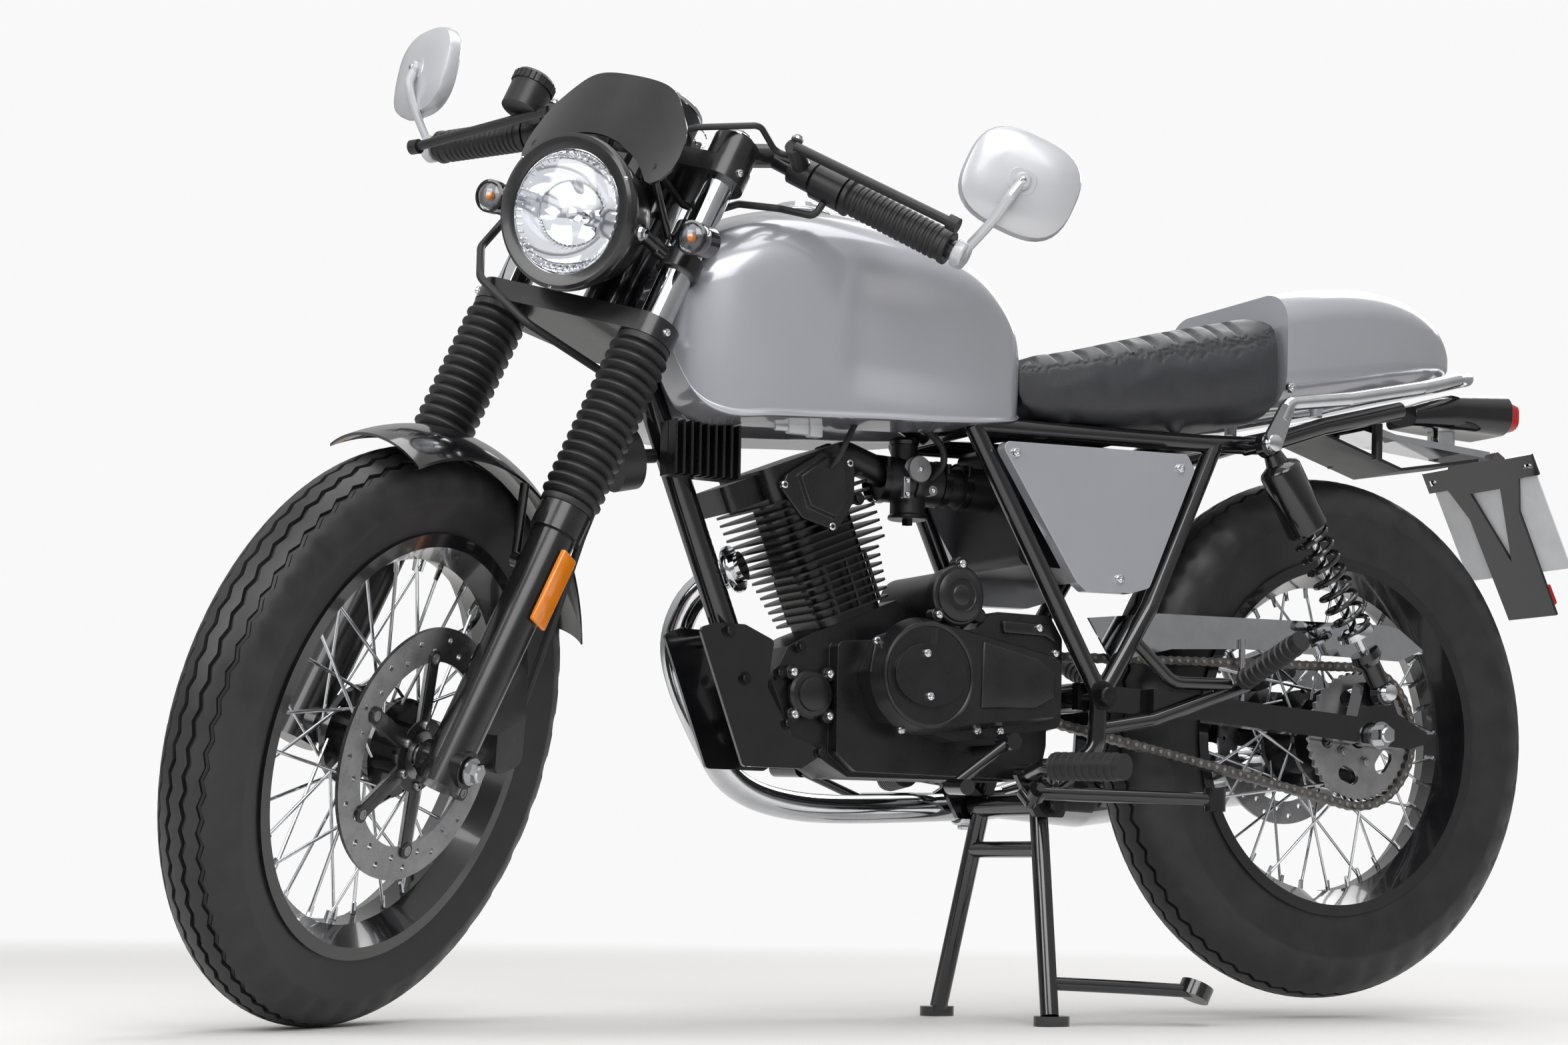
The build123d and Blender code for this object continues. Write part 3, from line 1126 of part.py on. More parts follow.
# Plate bracket: a pressed sheet with two slotted ears and a triangular window
BRACKET_LEAN = radians(29.0)
BRACKET_T = 4.0
BRACKET = Plane(origin=(-782, 0, 734), x_dir=(0, -1, 0), z_dir=(-cos(BRACKET_LEAN), 0, sin(BRACKET_LEAN)))
with BuildPart() as plate_bracket:
    with BuildSketch(BRACKET) as sheet:
        with BuildLine():
            Polyline((-102, -14), (-102, 16), (-52, 16), (-44, 26), (44, 26), (52, 16), (102, 16), (102, -14),
                     (66, -14), (46, -60), (44, -214), (-44, -214), (-46, -60), (-66, -14), close=True)
        make_face()
        with BuildLine():
            Polyline((-28, -24), (28, -24), (0, -130), close=True)
        make_face(mode=Mode.SUBTRACT)
        with Locations((-89, 0), (89, 0)):
            SlotOverall(18, 7, mode=Mode.SUBTRACT)
    extrude(sheet.sketch, amount=BRACKET_T)
keep("plate_bracket", plate_bracket.part)

with BuildPart() as number_plate:
    with BuildSketch(BRACKET.offset(BRACKET_T + SEAT_GAP)) as plate:
        with Locations((0, -76)):
            RectangleRounded(190, 150, 8)
    extrude(plate.sketch, amount=1.5)
keep("number_plate", number_plate.part)

INNER_GUARD_HALF = 46.0
INNER_GUARD_T = 4.0
INNER_GUARD = ((-459, 757), (-600, 721), (-736, 746))
with BuildPart() as rear_mudguard:
    slab(list(INNER_GUARD) + [(x, z - INNER_GUARD_T) for x, z in reversed(INNER_GUARD)],
         -INNER_GUARD_HALF, INNER_GUARD_HALF)
    for side in (-1, 1):
        rod((-560, side * 42.5, 728), (-560, side * 42.5, 786 - TUBE_R - SEAT_GAP), 7)
keep("rear_mudguard", rear_mudguard.part)

COVER_OUTLINE = [(82, 680), (-192, 690), (-204, 672), (-138, 524), (-112, 516), (-44, 514), (-30, 524)]
with BuildPart() as side_covers:
    for side in (-1, 1):
        y_low = side * 108 - 8
        slab(COVER_OUTLINE, y_low, y_low + 16, corner=8)
        for x, z in ((-20, 660), (-150, 660), (-80, 560)):
            rod((x, side * (AIRBOX_HALF + SEAT_GAP), z), (x, side * 104, z), 9)
keep("side_covers", side_covers.part)

# Swingarm, shocks and rear brake

ARM_FRONT_Y = 92.5
ARM_FRONT_W = 12.0
with BuildPart() as swingarm:
    for side in (-1, 1):
        y = side * SWINGARM_Y
        y_front = side * ARM_FRONT_Y
        slab([(-150, SWINGARM_Z + 13), (-150, SWINGARM_Z - 17), (-560, 348), (-590, 356), (-590, 370), (-540, 392),
              (-520, 430), (-484, 430), (-472, 386)], y - SWINGARM_W / 2, y + SWINGARM_W / 2)
        slab([(SWINGARM_X + 18, SWINGARM_Z + 16), (SWINGARM_X + 18, SWINGARM_Z - 16), (-170, SWINGARM_Z - 18),
              (-170, SWINGARM_Z + 12)], y_front - ARM_FRONT_W / 2, y_front + ARM_FRONT_W / 2)
    rod((SWINGARM_X, -ARM_FRONT_Y, SWINGARM_Z), (SWINGARM_X, ARM_FRONT_Y, SWINGARM_Z), 18)
    bore((SWINGARM_X, -120, SWINGARM_Z), (SWINGARM_X, 120, SWINGARM_Z), SWINGARM_PIN_R + SHAFT_GAP)
    bore((REAR_AXLE_X, -200, REAR_AXLE_Z), (REAR_AXLE_X, 200, REAR_AXLE_Z), REAR_AXLE_R + SHAFT_GAP)
    for side in (-1, 1):
        rod((SHOCK_FOOT[0], side * (SWINGARM_Y + 2), SHOCK_FOOT[1]),
            (SHOCK_FOOT[0], side * eye_inner, SHOCK_FOOT[1]), SHOCK_PIN_R)
keep("swingarm", swingarm.part)

with BuildPart() as rear_axle:
    rod((REAR_AXLE_X, -118, REAR_AXLE_Z), (REAR_AXLE_X, 126, REAR_AXLE_Z), REAR_AXLE_R)
    rod((REAR_AXLE_X, SWINGARM_Y + SWINGARM_W / 2 + SEAT_GAP, REAR_AXLE_Z), (REAR_AXLE_X, 122, REAR_AXLE_Z), 15)
    rod((REAR_AXLE_X, rear_hub_top + SPROCKET_T + TURN_GAP, REAR_AXLE_Z),
        (REAR_AXLE_X, SWINGARM_Y - SWINGARM_W / 2 - SEAT_GAP, REAR_AXLE_Z), 13)
    rod((REAR_AXLE_X, -SWINGARM_Y + SWINGARM_W / 2 + SEAT_GAP, REAR_AXLE_Z),
        (REAR_AXLE_X, REAR_DISC_Y - DISC_T / 2 - TURN_GAP, REAR_AXLE_Z), 13)
keep("rear_axle", rear_axle.part)

shock_way = Vector(SHOCK_FOOT[0], SHOCK_Y, SHOCK_FOOT[1]) - Vector(SHOCK_TOP[0], SHOCK_Y, SHOCK_TOP[1])
shock_l = shock_way.length
COIL_R = 22.0
COIL_COUNT = 6
COIL_LOW = 150.0
COIL_HIGH = 272.0
coil_pitch = (COIL_HIGH - COIL_LOW) / COIL_COUNT
coils = [point for coil in range(COIL_COUNT) for point in (
    (16, COIL_LOW + coil * coil_pitch), (COIL_R, COIL_LOW + (coil + 0.35) * coil_pitch),
    (COIL_R, COIL_LOW + (coil + 0.65) * coil_pitch))]
with BuildPart() as shock:
    turned_section([(0, 14), (10, 14), (13, 30), (26, 36), (26, COIL_LOW)] + coils
                   + [(16, COIL_HIGH), (21, COIL_HIGH + 4), (13.5, COIL_HIGH + 10), (13.5, shock_l - 14),
                      (0, shock_l - 14)])
with BuildPart() as shocks:
    for side in (-1, 1):
        top = (SHOCK_TOP[0], side * SHOCK_Y, SHOCK_TOP[1])
        add(shock.part.moved(Plane(origin=top, z_dir=shock_way).location))
        for x, z in (SHOCK_TOP, SHOCK_FOOT):
            rod((x, side * (SHOCK_Y - SHOCK_EYE_HALF), z), (x, side * (SHOCK_Y + SHOCK_EYE_HALF), z), 16)
keep("shocks", shocks.part)

GUARD_PLATE_Y = CHAIN_Y + CHAIN_W / 2 + 3
GUARD_PLATE_T = 3.0
guard_rod_y = GUARD_PLATE_Y + GUARD_PLATE_T + 2.5
with BuildPart() as chain_guard:
    slab([(-67, 486), (-104, 435), (-193, 456), (-310, 463), (-560, 462), (-600, 479), (-560, 503), (-540, 507),
          (-172, 498)], GUARD_PLATE_Y, GUARD_PLATE_Y + GUARD_PLATE_T)
    slab([(-172, 498), (-172, 489), (-540, 498), (-600, 474), (-600, 479), (-560, 503), (-540, 507)],
         CHAIN_Y - CHAIN_W, GUARD_PLATE_Y + GUARD_PLATE_T)
    rod((-300, guard_rod_y, 474), (-300, guard_rod_y, 396.2), 4)
keep("chain_guard", chain_guard.part)

with BuildPart() as caliper_block:
    with BuildSketch(Plane.XY.offset(REAR_DISC_Y - 20)):
        with PolarLocations(REAR_DISC_R - 9, 1, start_angle=290):
            RectangleRounded(46, 76, 10)
    extrude(amount=36)
    with BuildSketch(Plane.XY.offset(REAR_DISC_Y - DISC_T / 2 - TURN_GAP)):
        Circle(REAR_DISC_R + TURN_GAP)
    extrude(amount=DISC_T + 2 * TURN_GAP, mode=Mode.SUBTRACT)
with BuildPart() as rear_caliper:
    add(on_rear_wheel(caliper_block.part))
    slab([(-484, 374), (-440, 400), (-460, 470), (-490, 440)], -SWINGARM_Y + SWINGARM_W / 2 + SEAT_GAP,
         -SWINGARM_Y + SWINGARM_W / 2 + 5)
keep("rear_caliper", rear_caliper.part)

# Footrests and levers

with BuildPart() as footrests:
    for side in (-1, 1):
        rod(tuple(peg_start(side)), (PEG_OUT[0], side * PEG_OUT[1], PEG_OUT[2]), 15)
        hanger = Vector(-270, side * REST_Y, 414)
        tip = Vector(-271, side * 236, 460)
        rod(tuple(hanger + (tip - hanger).normalized() * (REST_R + SEAT_GAP)), tuple(tip), 12)
keep("footrests", footrests.part)

with BuildPart() as foot_levers:
    rod((72, COVER_Y + 4, 330), (72, 142, 330), 10)
    rod((72, CRANK_HALF + SEAT_GAP, 322), (72, COVER_Y + 4, 322), 6)
    rod((72, 132, 330), (160, 148, 276), 6)
    rod((160, 144, 275), (168, 190, 273), 9)
    tube([(-50, -111.8, 303), (-50, -140, 303), (0, -140, 274), (110, -140, 270), (190, -142, 300)], 6, 10)
    rod((190, -142, 303), (196, -196, 305), 11)
keep("foot_levers", foot_levers.part)

# Stands

FOOT_LIFT = 12.0
STAND_LUG = STAND_HALF + 12
KICK_START = (-3.0, FOOT_Y - 9, 50.0)
KICK_END = (-178.0, KICK_Y, 42.0)
with BuildPart() as centre_stand:
    rod((STAND_X, -STAND_LUG, STAND_Z), (STAND_X, STAND_LUG, STAND_Z), 14)
    for side in (-1, 1):
        rod((STAND_X, side * STAND_HALF, STAND_Z), (0, side * FOOT_Y, FOOT_LIFT), 11)
        with BuildSketch(Plane.XY):
            with Locations((0, side * (FOOT_Y + 4))):
                SlotOverall(46, 26)
        extrude(amount=FOOT_LIFT)
    rod((STAND_X + 4, -STAND_LUG, STAND_Z - 54), (STAND_X + 4, STAND_LUG, STAND_Z - 54), 10)
    tube([KICK_START, (-100, FOOT_Y + 20, 46), KICK_END], 8, 30)
    rod((KICK_END[0], KICK_END[1], 34), (KICK_END[0] - 8, KICK_END[1], 50), 20)
    bore((STAND_X, -200, STAND_Z), (STAND_X, 200, STAND_Z), STAND_PIVOT_R + SHAFT_GAP)
keep("centre_stand", centre_stand.part)

with BuildPart() as side_stand:
    foot = SIDE_PIVOT + SIDE_FOLDED * SIDE_LENGTH
    rod(tuple(SIDE_PIVOT - side_axis * 6), tuple(SIDE_PIVOT + side_axis * 6), 11)
    rod(tuple(SIDE_PIVOT), tuple(foot), 8)
    rod(tuple(foot - Vector(0, 0, 14)), tuple(foot + Vector(0, 0, 14)), 13)
    bore(tuple(SIDE_PIVOT - side_axis * 20), tuple(SIDE_PIVOT + side_axis * 20), SIDE_PIN_R + SHAFT_GAP)
keep("side_stand", side_stand.part)
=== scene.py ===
"""Looks of a small cafe racer motorcycle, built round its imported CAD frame."""

import logging
import math
from collections.abc import Iterable, Sequence
from dataclasses import dataclass
from enum import Enum
from typing import Any

import bmesh
import bpy
from mathutils import Matrix, Vector


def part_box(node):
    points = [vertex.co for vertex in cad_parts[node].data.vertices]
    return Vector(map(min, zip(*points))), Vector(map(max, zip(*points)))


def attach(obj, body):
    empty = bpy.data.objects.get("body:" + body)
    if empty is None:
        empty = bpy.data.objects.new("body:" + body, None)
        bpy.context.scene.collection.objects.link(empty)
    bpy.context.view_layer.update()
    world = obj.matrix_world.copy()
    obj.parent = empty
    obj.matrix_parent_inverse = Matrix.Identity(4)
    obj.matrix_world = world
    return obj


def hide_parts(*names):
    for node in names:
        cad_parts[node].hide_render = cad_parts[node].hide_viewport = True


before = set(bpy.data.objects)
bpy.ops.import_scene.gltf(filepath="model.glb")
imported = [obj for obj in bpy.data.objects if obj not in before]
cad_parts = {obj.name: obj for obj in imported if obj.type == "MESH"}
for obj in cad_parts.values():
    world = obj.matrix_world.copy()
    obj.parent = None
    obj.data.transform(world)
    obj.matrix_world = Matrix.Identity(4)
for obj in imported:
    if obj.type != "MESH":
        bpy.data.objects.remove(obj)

LOG = logging.getLogger("cafe_racer")
PHOTO_WIDTH, PHOTO_HEIGHT = 2352, 1568
MM = 0.001

Point = tuple[float, float, float]
Colour = tuple[float, float, float]
Profile = Sequence[tuple[float, float]]

# The steered frame: its pivot, its axis, and the ways ahead and to its left, in millimetres
PIVOT = Vector((775.141, 0.0, 288.001))
AXIS_UP = Vector((-0.427358, 0.0, 0.904083))
FORK_AHEAD = Vector((0.712429, 0.615661, 0.336765))
FORK_LEFT = Vector((-0.556609, 0.788011, -0.263108))
FRONT_AXLE = Vector((808.126, 28.505, 303.593))
REAR_AXLE = Vector((-503.0, 0.0, 363.0))

# The fork tubes: how far ahead of the steering axis and to each side of it
FORK_OFFSET, FORK_HALF = 46.3, 93.7
LAMP_PLACE = (148.6, 0, 592)
RAKE = math.radians(25.3)
PLATE_LEAN = math.radians(29)
COAT_ROUGHNESS = 0.05
BUMP_DEPTH = 0.0002
SHARP_ANGLE = math.radians(33)


def placed(origin: Iterable[float], x_axis: Iterable[float], y_axis: Iterable[float],
           z_axis: Iterable[float]) -> Matrix:
    """Return the matrix of a frame in millimetres whose axes are given in the part's frame.

    Args:
        origin: Where the frame's zero lies, in millimetres.
        x_axis: Its first axis.
        y_axis: Its second axis.
        z_axis: Its third axis.

    Returns:
        A matrix from the frame's millimetres to the scene's metres.
    """
    turned = Matrix((x_axis, y_axis, z_axis)).transposed().to_4x4()
    return Matrix.Scale(MM, 4) @ Matrix.Translation(origin) @ turned


class Body(Enum):
    """The record's bodies that pieces ride on, each with the frame that its pieces are drawn in."""

    CHASSIS = ("chassis", Matrix.Scale(MM, 4))
    FORK = ("fork", placed(PIVOT, FORK_AHEAD, FORK_LEFT, AXIS_UP))
    FRONT_WHEEL = ("front_wheel", placed(FRONT_AXLE, FORK_AHEAD, -AXIS_UP, FORK_LEFT))
    REAR_WHEEL = ("rear_wheel", placed(REAR_AXLE, (1, 0, 0), (0, 0, -1), (0, 1, 0)))

    def __init__(self, label: str, matrix: Matrix) -> None:
        """Keep the body's name in the record and its frame."""
        self.label = label
        self.matrix = matrix


LAMP_FRAME = Body.FORK.matrix @ Matrix.Translation(LAMP_PLACE) @ Matrix(
    ((0, math.sin(RAKE), math.cos(RAKE)), (1, 0, 0), (0, math.cos(RAKE), -math.sin(RAKE)))).to_4x4()


def feed(tree: bpy.types.NodeTree, node: bpy.types.Node, inputs: dict[str | int, Any]) -> None:
    """Give a node's inputs their constants, or link them to the outputs of other nodes."""
    for key, value in inputs.items():
        if isinstance(value, bpy.types.NodeSocket):
            tree.links.new(value, node.inputs[key])
        else:
            node.inputs[key].default_value = value


def add_node(tree: bpy.types.NodeTree, kind: str, inputs: dict[str | int, Any] | None = None,
             **settings: Any) -> bpy.types.Node:
    """Add a shader node.

    Args:
        tree: The tree that it is added to.
        kind: Its type, without the words that all shader nodes start with.
        inputs: The constants and the links of its inputs.
        settings: Its other settings, such as its operation.

    Returns:
        The new node.
    """
    node = tree.nodes.new("ShaderNode" + kind)
    for name, value in settings.items():
        setattr(node, name, value)
    feed(tree, node, inputs or {})
    return node


def surface_group() -> bpy.types.ShaderNodeTree:
    """Build the shared node group for colour and roughness that change over a surface.

    Returns:
        The group: two colours and two roughnesses go in, and a colour, a roughness and a height come out.
    """
    name = "surface variation"
    if name in bpy.data.node_groups:
        return bpy.data.node_groups[name]
    tree = bpy.data.node_groups.new(name, "ShaderNodeTree")
    for socket, kind, value in (
        ("Low Colour", "NodeSocketColor", (0.1, 0.1, 0.1, 1.0)),
        ("High Colour", "NodeSocketColor", (0.2, 0.2, 0.2, 1.0)),
        ("Low Roughness", "NodeSocketFloat", 0.3),
        ("High Roughness", "NodeSocketFloat", 0.5),
        ("Scale", "NodeSocketFloat", 60.0),
        ("Grain Scale", "NodeSocketFloat", 900.0),
    ):
        tree.interface.new_socket(socket, in_out="INPUT", socket_type=kind).default_value = value
    for socket, kind in (
        ("Colour", "NodeSocketColor"), ("Roughness", "NodeSocketFloat"), ("Height", "NodeSocketFloat"),
    ):
        tree.interface.new_socket(socket, in_out="OUTPUT", socket_type=kind)
    given = tree.nodes.new("NodeGroupInput").outputs
    place = add_node(tree, "TexCoord").outputs["Object"]
    cloud, grain = (
        add_node(tree, "TexNoise", {
            "Vector": place, "Scale": given[scale], "Detail": detail, "Roughness": rough}).outputs["Fac"]
        for scale, detail, rough in (("Scale", 5.0, 0.6), ("Grain Scale", 3.0, 0.5)))
    spread = add_node(tree, "MapRange", {"Value": cloud, "From Min": 0.32, "From Max": 0.68}).outputs["Result"]
    tint = add_node(tree, "Mix", {"Factor": spread, "A": given["Low Colour"], "B": given["High Colour"]},
                    data_type="RGBA")
    half = add_node(tree, "Math", {0: spread, 1: 0.5}, operation="MULTIPLY").outputs[0]
    both = add_node(tree, "Math", {0: grain, 1: 0.5, 2: half}, operation="MULTIPLY_ADD").outputs[0]
    rough = add_node(tree, "Mix", {"Factor": both, "A": given["Low Roughness"], "B": given["High Roughness"]})
    feed(tree, tree.nodes.new("NodeGroupOutput"),
         {"Colour": tint.outputs["Result"], "Roughness": rough.outputs["Result"], "Height": grain})
    return tree


@dataclass(frozen=True)
class Finish:
    """A finish: two near colours and roughnesses that change slowly over the surface, with a fine grain."""

    name: str
    low: Colour
    high: Colour
    rough: tuple[float, float] = (0.35, 0.5)
    metallic: float = 0.0
    coat: float = 0.0
    scale: float = 30.0
    grain_scale: float = 900.0
    bump: float = 0.0

    def material(self) -> bpy.types.Material:
        """Return this finish's material, built the first time it is asked for."""
        if self.name in bpy.data.materials:
            return bpy.data.materials[self.name]
        material = bpy.data.materials.new(self.name)
        material.use_nodes = True
        tree = material.node_tree
        shader = tree.nodes["Principled BSDF"]
        group = add_node(tree, "Group", {
            "Low Colour": (*self.low, 1.0), "High Colour": (*self.high, 1.0), "Low Roughness": self.rough[0],
            "High Roughness": self.rough[1], "Scale": self.scale, "Grain Scale": self.grain_scale},
            node_tree=surface_group())
        feed(tree, shader, {
            "Metallic": self.metallic, "Coat Weight": self.coat, "Coat Roughness": COAT_ROUGHNESS,
            "Base Color": group.outputs["Colour"], "Roughness": group.outputs["Roughness"]})
        if self.bump:
            bump = add_node(tree, "Bump", {
                "Strength": self.bump, "Distance": BUMP_DEPTH, "Height": group.outputs["Height"]})
            feed(tree, shader, {"Normal": bump.outputs["Normal"]})
        self.extend(tree, shader)
        return material

    def extend(self, tree: bpy.types.NodeTree, shader: bpy.types.Node) -> None:
        """Add what a special finish needs to its shader; a plain finish adds nothing."""


@dataclass(frozen=True)
class ClearFinish(Finish):
    """A finish that light goes through, such as a lamp glass."""

    through: float = 1.0

    def extend(self, tree: bpy.types.NodeTree, shader: bpy.types.Node) -> None:
        """Let light through the shader."""
        feed(tree, shader, {"Transmission Weight": self.through, "IOR": 1.45})


@dataclass(frozen=True)
class LeatherFinish(Finish):
    """Leather: a net of small creases between raised cells."""

    cell_scale: float = 420.0

    def extend(self, tree: bpy.types.NodeTree, shader: bpy.types.Node) -> None:
        """Add the cells of the grain to the bump."""
        place = add_node(tree, "TexCoord").outputs["Object"]
        cells = add_node(tree, "TexVoronoi", {"Vector": place, "Scale": self.cell_scale}, feature="DISTANCE_TO_EDGE")
        crease = add_node(tree, "MapRange", {"Value": cells.outputs["Distance"], "From Max": 0.12})
        bump = add_node(tree, "Bump", {"Strength": 0.35, "Distance": 0.0003, "Height": crease.outputs["Result"]})
        feed(tree, shader, {"Normal": bump.outputs["Normal"]})


FRAME_BLACK = Finish("gloss black frame paint", (0.005, 0.005, 0.006), (0.008, 0.008, 0.009), (0.12, 0.20), coat=0.8)
ENGINE_BLACK = Finish("satin black engine paint", (0.007, 0.007, 0.008), (0.011, 0.011, 0.012), (0.24, 0.33),
                      bump=0.12, grain_scale=1600.0)
FORK_BLACK = Finish("satin black fork paint", (0.009, 0.009, 0.010), (0.014, 0.014, 0.015), (0.22, 0.30), coat=0.25)
TANK_SILVER = Finish("pearl silver paint", (0.40, 0.405, 0.44), (0.41, 0.415, 0.45), (0.22, 0.25), metallic=0.35,
                     coat=1.0, scale=8.0, grain_scale=5000.0)
CHROME = Finish("chrome plate", (0.62, 0.63, 0.65), (0.72, 0.73, 0.75), (0.04, 0.10), metallic=1.0)
CAST_GREY = Finish("bare cast aluminium", (0.34, 0.34, 0.35), (0.46, 0.46, 0.47), (0.34, 0.5), metallic=0.9, bump=0.25)
STEEL = Finish("zinc plated steel", (0.30, 0.30, 0.31), (0.42, 0.42, 0.43), (0.26, 0.42), metallic=0.95)
BLACK_STEEL = Finish("blackened steel", (0.03, 0.03, 0.032), (0.05, 0.05, 0.053), (0.22, 0.32), metallic=0.85)
DISC_STEEL = Finish("ground disc steel", (0.30, 0.30, 0.31), (0.42, 0.42, 0.43), (0.22, 0.36), metallic=1.0)
RUBBER = Finish("moulded rubber", (0.009, 0.009, 0.010), (0.015, 0.015, 0.016), (0.42, 0.55), bump=0.15)
TYRE_RUBBER = Finish("tyre rubber", (0.011, 0.011, 0.012), (0.019, 0.019, 0.020), (0.38, 0.52), bump=0.2)
SEAT_LEATHER = LeatherFinish("charcoal seat leather", (0.024, 0.025, 0.030), (0.034, 0.035, 0.041), (0.36, 0.46))
PLASTIC = Finish("matte black plastic", (0.009, 0.009, 0.010), (0.014, 0.014, 0.015), (0.32, 0.44), bump=0.15)
SCREEN_BLACK = Finish("satin black screen", (0.005, 0.005, 0.006), (0.008, 0.008, 0.009), (0.22, 0.28), coat=0.3)
GLOSS_PLASTIC = Finish("gloss black plastic", (0.005, 0.005, 0.006), (0.008, 0.008, 0.009), (0.08, 0.14), coat=0.6)
MIRROR_SILVER = Finish("silver mirror shell", (0.50, 0.505, 0.53), (0.51, 0.515, 0.54), (0.28, 0.32), metallic=0.25,
                       coat=0.5, scale=10.0)
PLATE_WHITE = Finish("white plate", (0.66, 0.67, 0.69), (0.74, 0.75, 0.77), (0.35, 0.45))
LAMP_GLASS = ClearFinish("lamp glass", (0.95, 0.97, 1.0), (0.97, 0.98, 1.0), (0.02, 0.04), through=1.0)
RED_LENS = ClearFinish("red tail lens", (0.55, 0.01, 0.015), (0.65, 0.015, 0.02), (0.1, 0.16), through=0.35)
REFLECTOR = Finish("bright reflector", (0.80, 0.80, 0.81), (0.88, 0.88, 0.89), (0.03, 0.08), metallic=1.0)
MIRROR_GLASS = Finish("mirror glass", (0.75, 0.76, 0.77), (0.80, 0.81, 0.82), (0.01, 0.03), metallic=1.0)
AMBER = Finish("amber lens", (0.75, 0.20, 0.01), (0.85, 0.26, 0.015), (0.12, 0.2), coat=0.6)
CHAIN_PIN = Finish("bright chain pins", (0.34, 0.33, 0.31), (0.48, 0.47, 0.44), (0.25, 0.4), metallic=0.95)
CHAIN_STEEL = Finish("oiled chain steel", (0.10, 0.095, 0.09), (0.22, 0.21, 0.20), (0.28, 0.45), metallic=0.9,
                     scale=120.0)

NODE_FINISHES: dict[str, Finish] = {
    name: finish for finish, names in (
        (FRAME_BLACK, "centre_stand foot_levers frame_rear frame_spine front_rim_and_hub plate_bracket "
                      "rear_rim_and_hub shocks side_stand swingarm"),
        (ENGINE_BLACK, "crankcase cylinder head_cover left_engine_cover regulator starter"),
        (FORK_BLACK, "fork_clamps fork_legs front_caliper handlebars headlight rear_caliper"),
        (TANK_SILVER, "fuel_tank side_covers tail_cowl"),
        (CHROME, "chain_guard exhaust_header fork_tubes front_spokes fuel_cap grab_rail rear_spokes silencer "
                 "tail_bracket tail_lamp"),
        (PLASTIC, "airbox flyscreen hand_controls horn instrument intake rear_mudguard"),
        (GLOSS_PLASTIC, "front_mudguard position_lamps"),
        (RUBBER, "control_cables footrests gaiters"),
        (TYRE_RUBBER, "front_tyre rear_tyre"),
        (STEEL, "front_axle rear_axle rear_sprocket"),
        (DISC_STEEL, "front_disc rear_disc"),
        (CHAIN_STEEL, "chain"),
        (SEAT_LEATHER, "seat"),
        (LAMP_GLASS, "headlight_lens"),
        (RED_LENS, "tail_lens"),
        (MIRROR_SILVER, "mirrors"),
        (PLATE_WHITE, "number_plate"),
    ) for name in names.split()
}


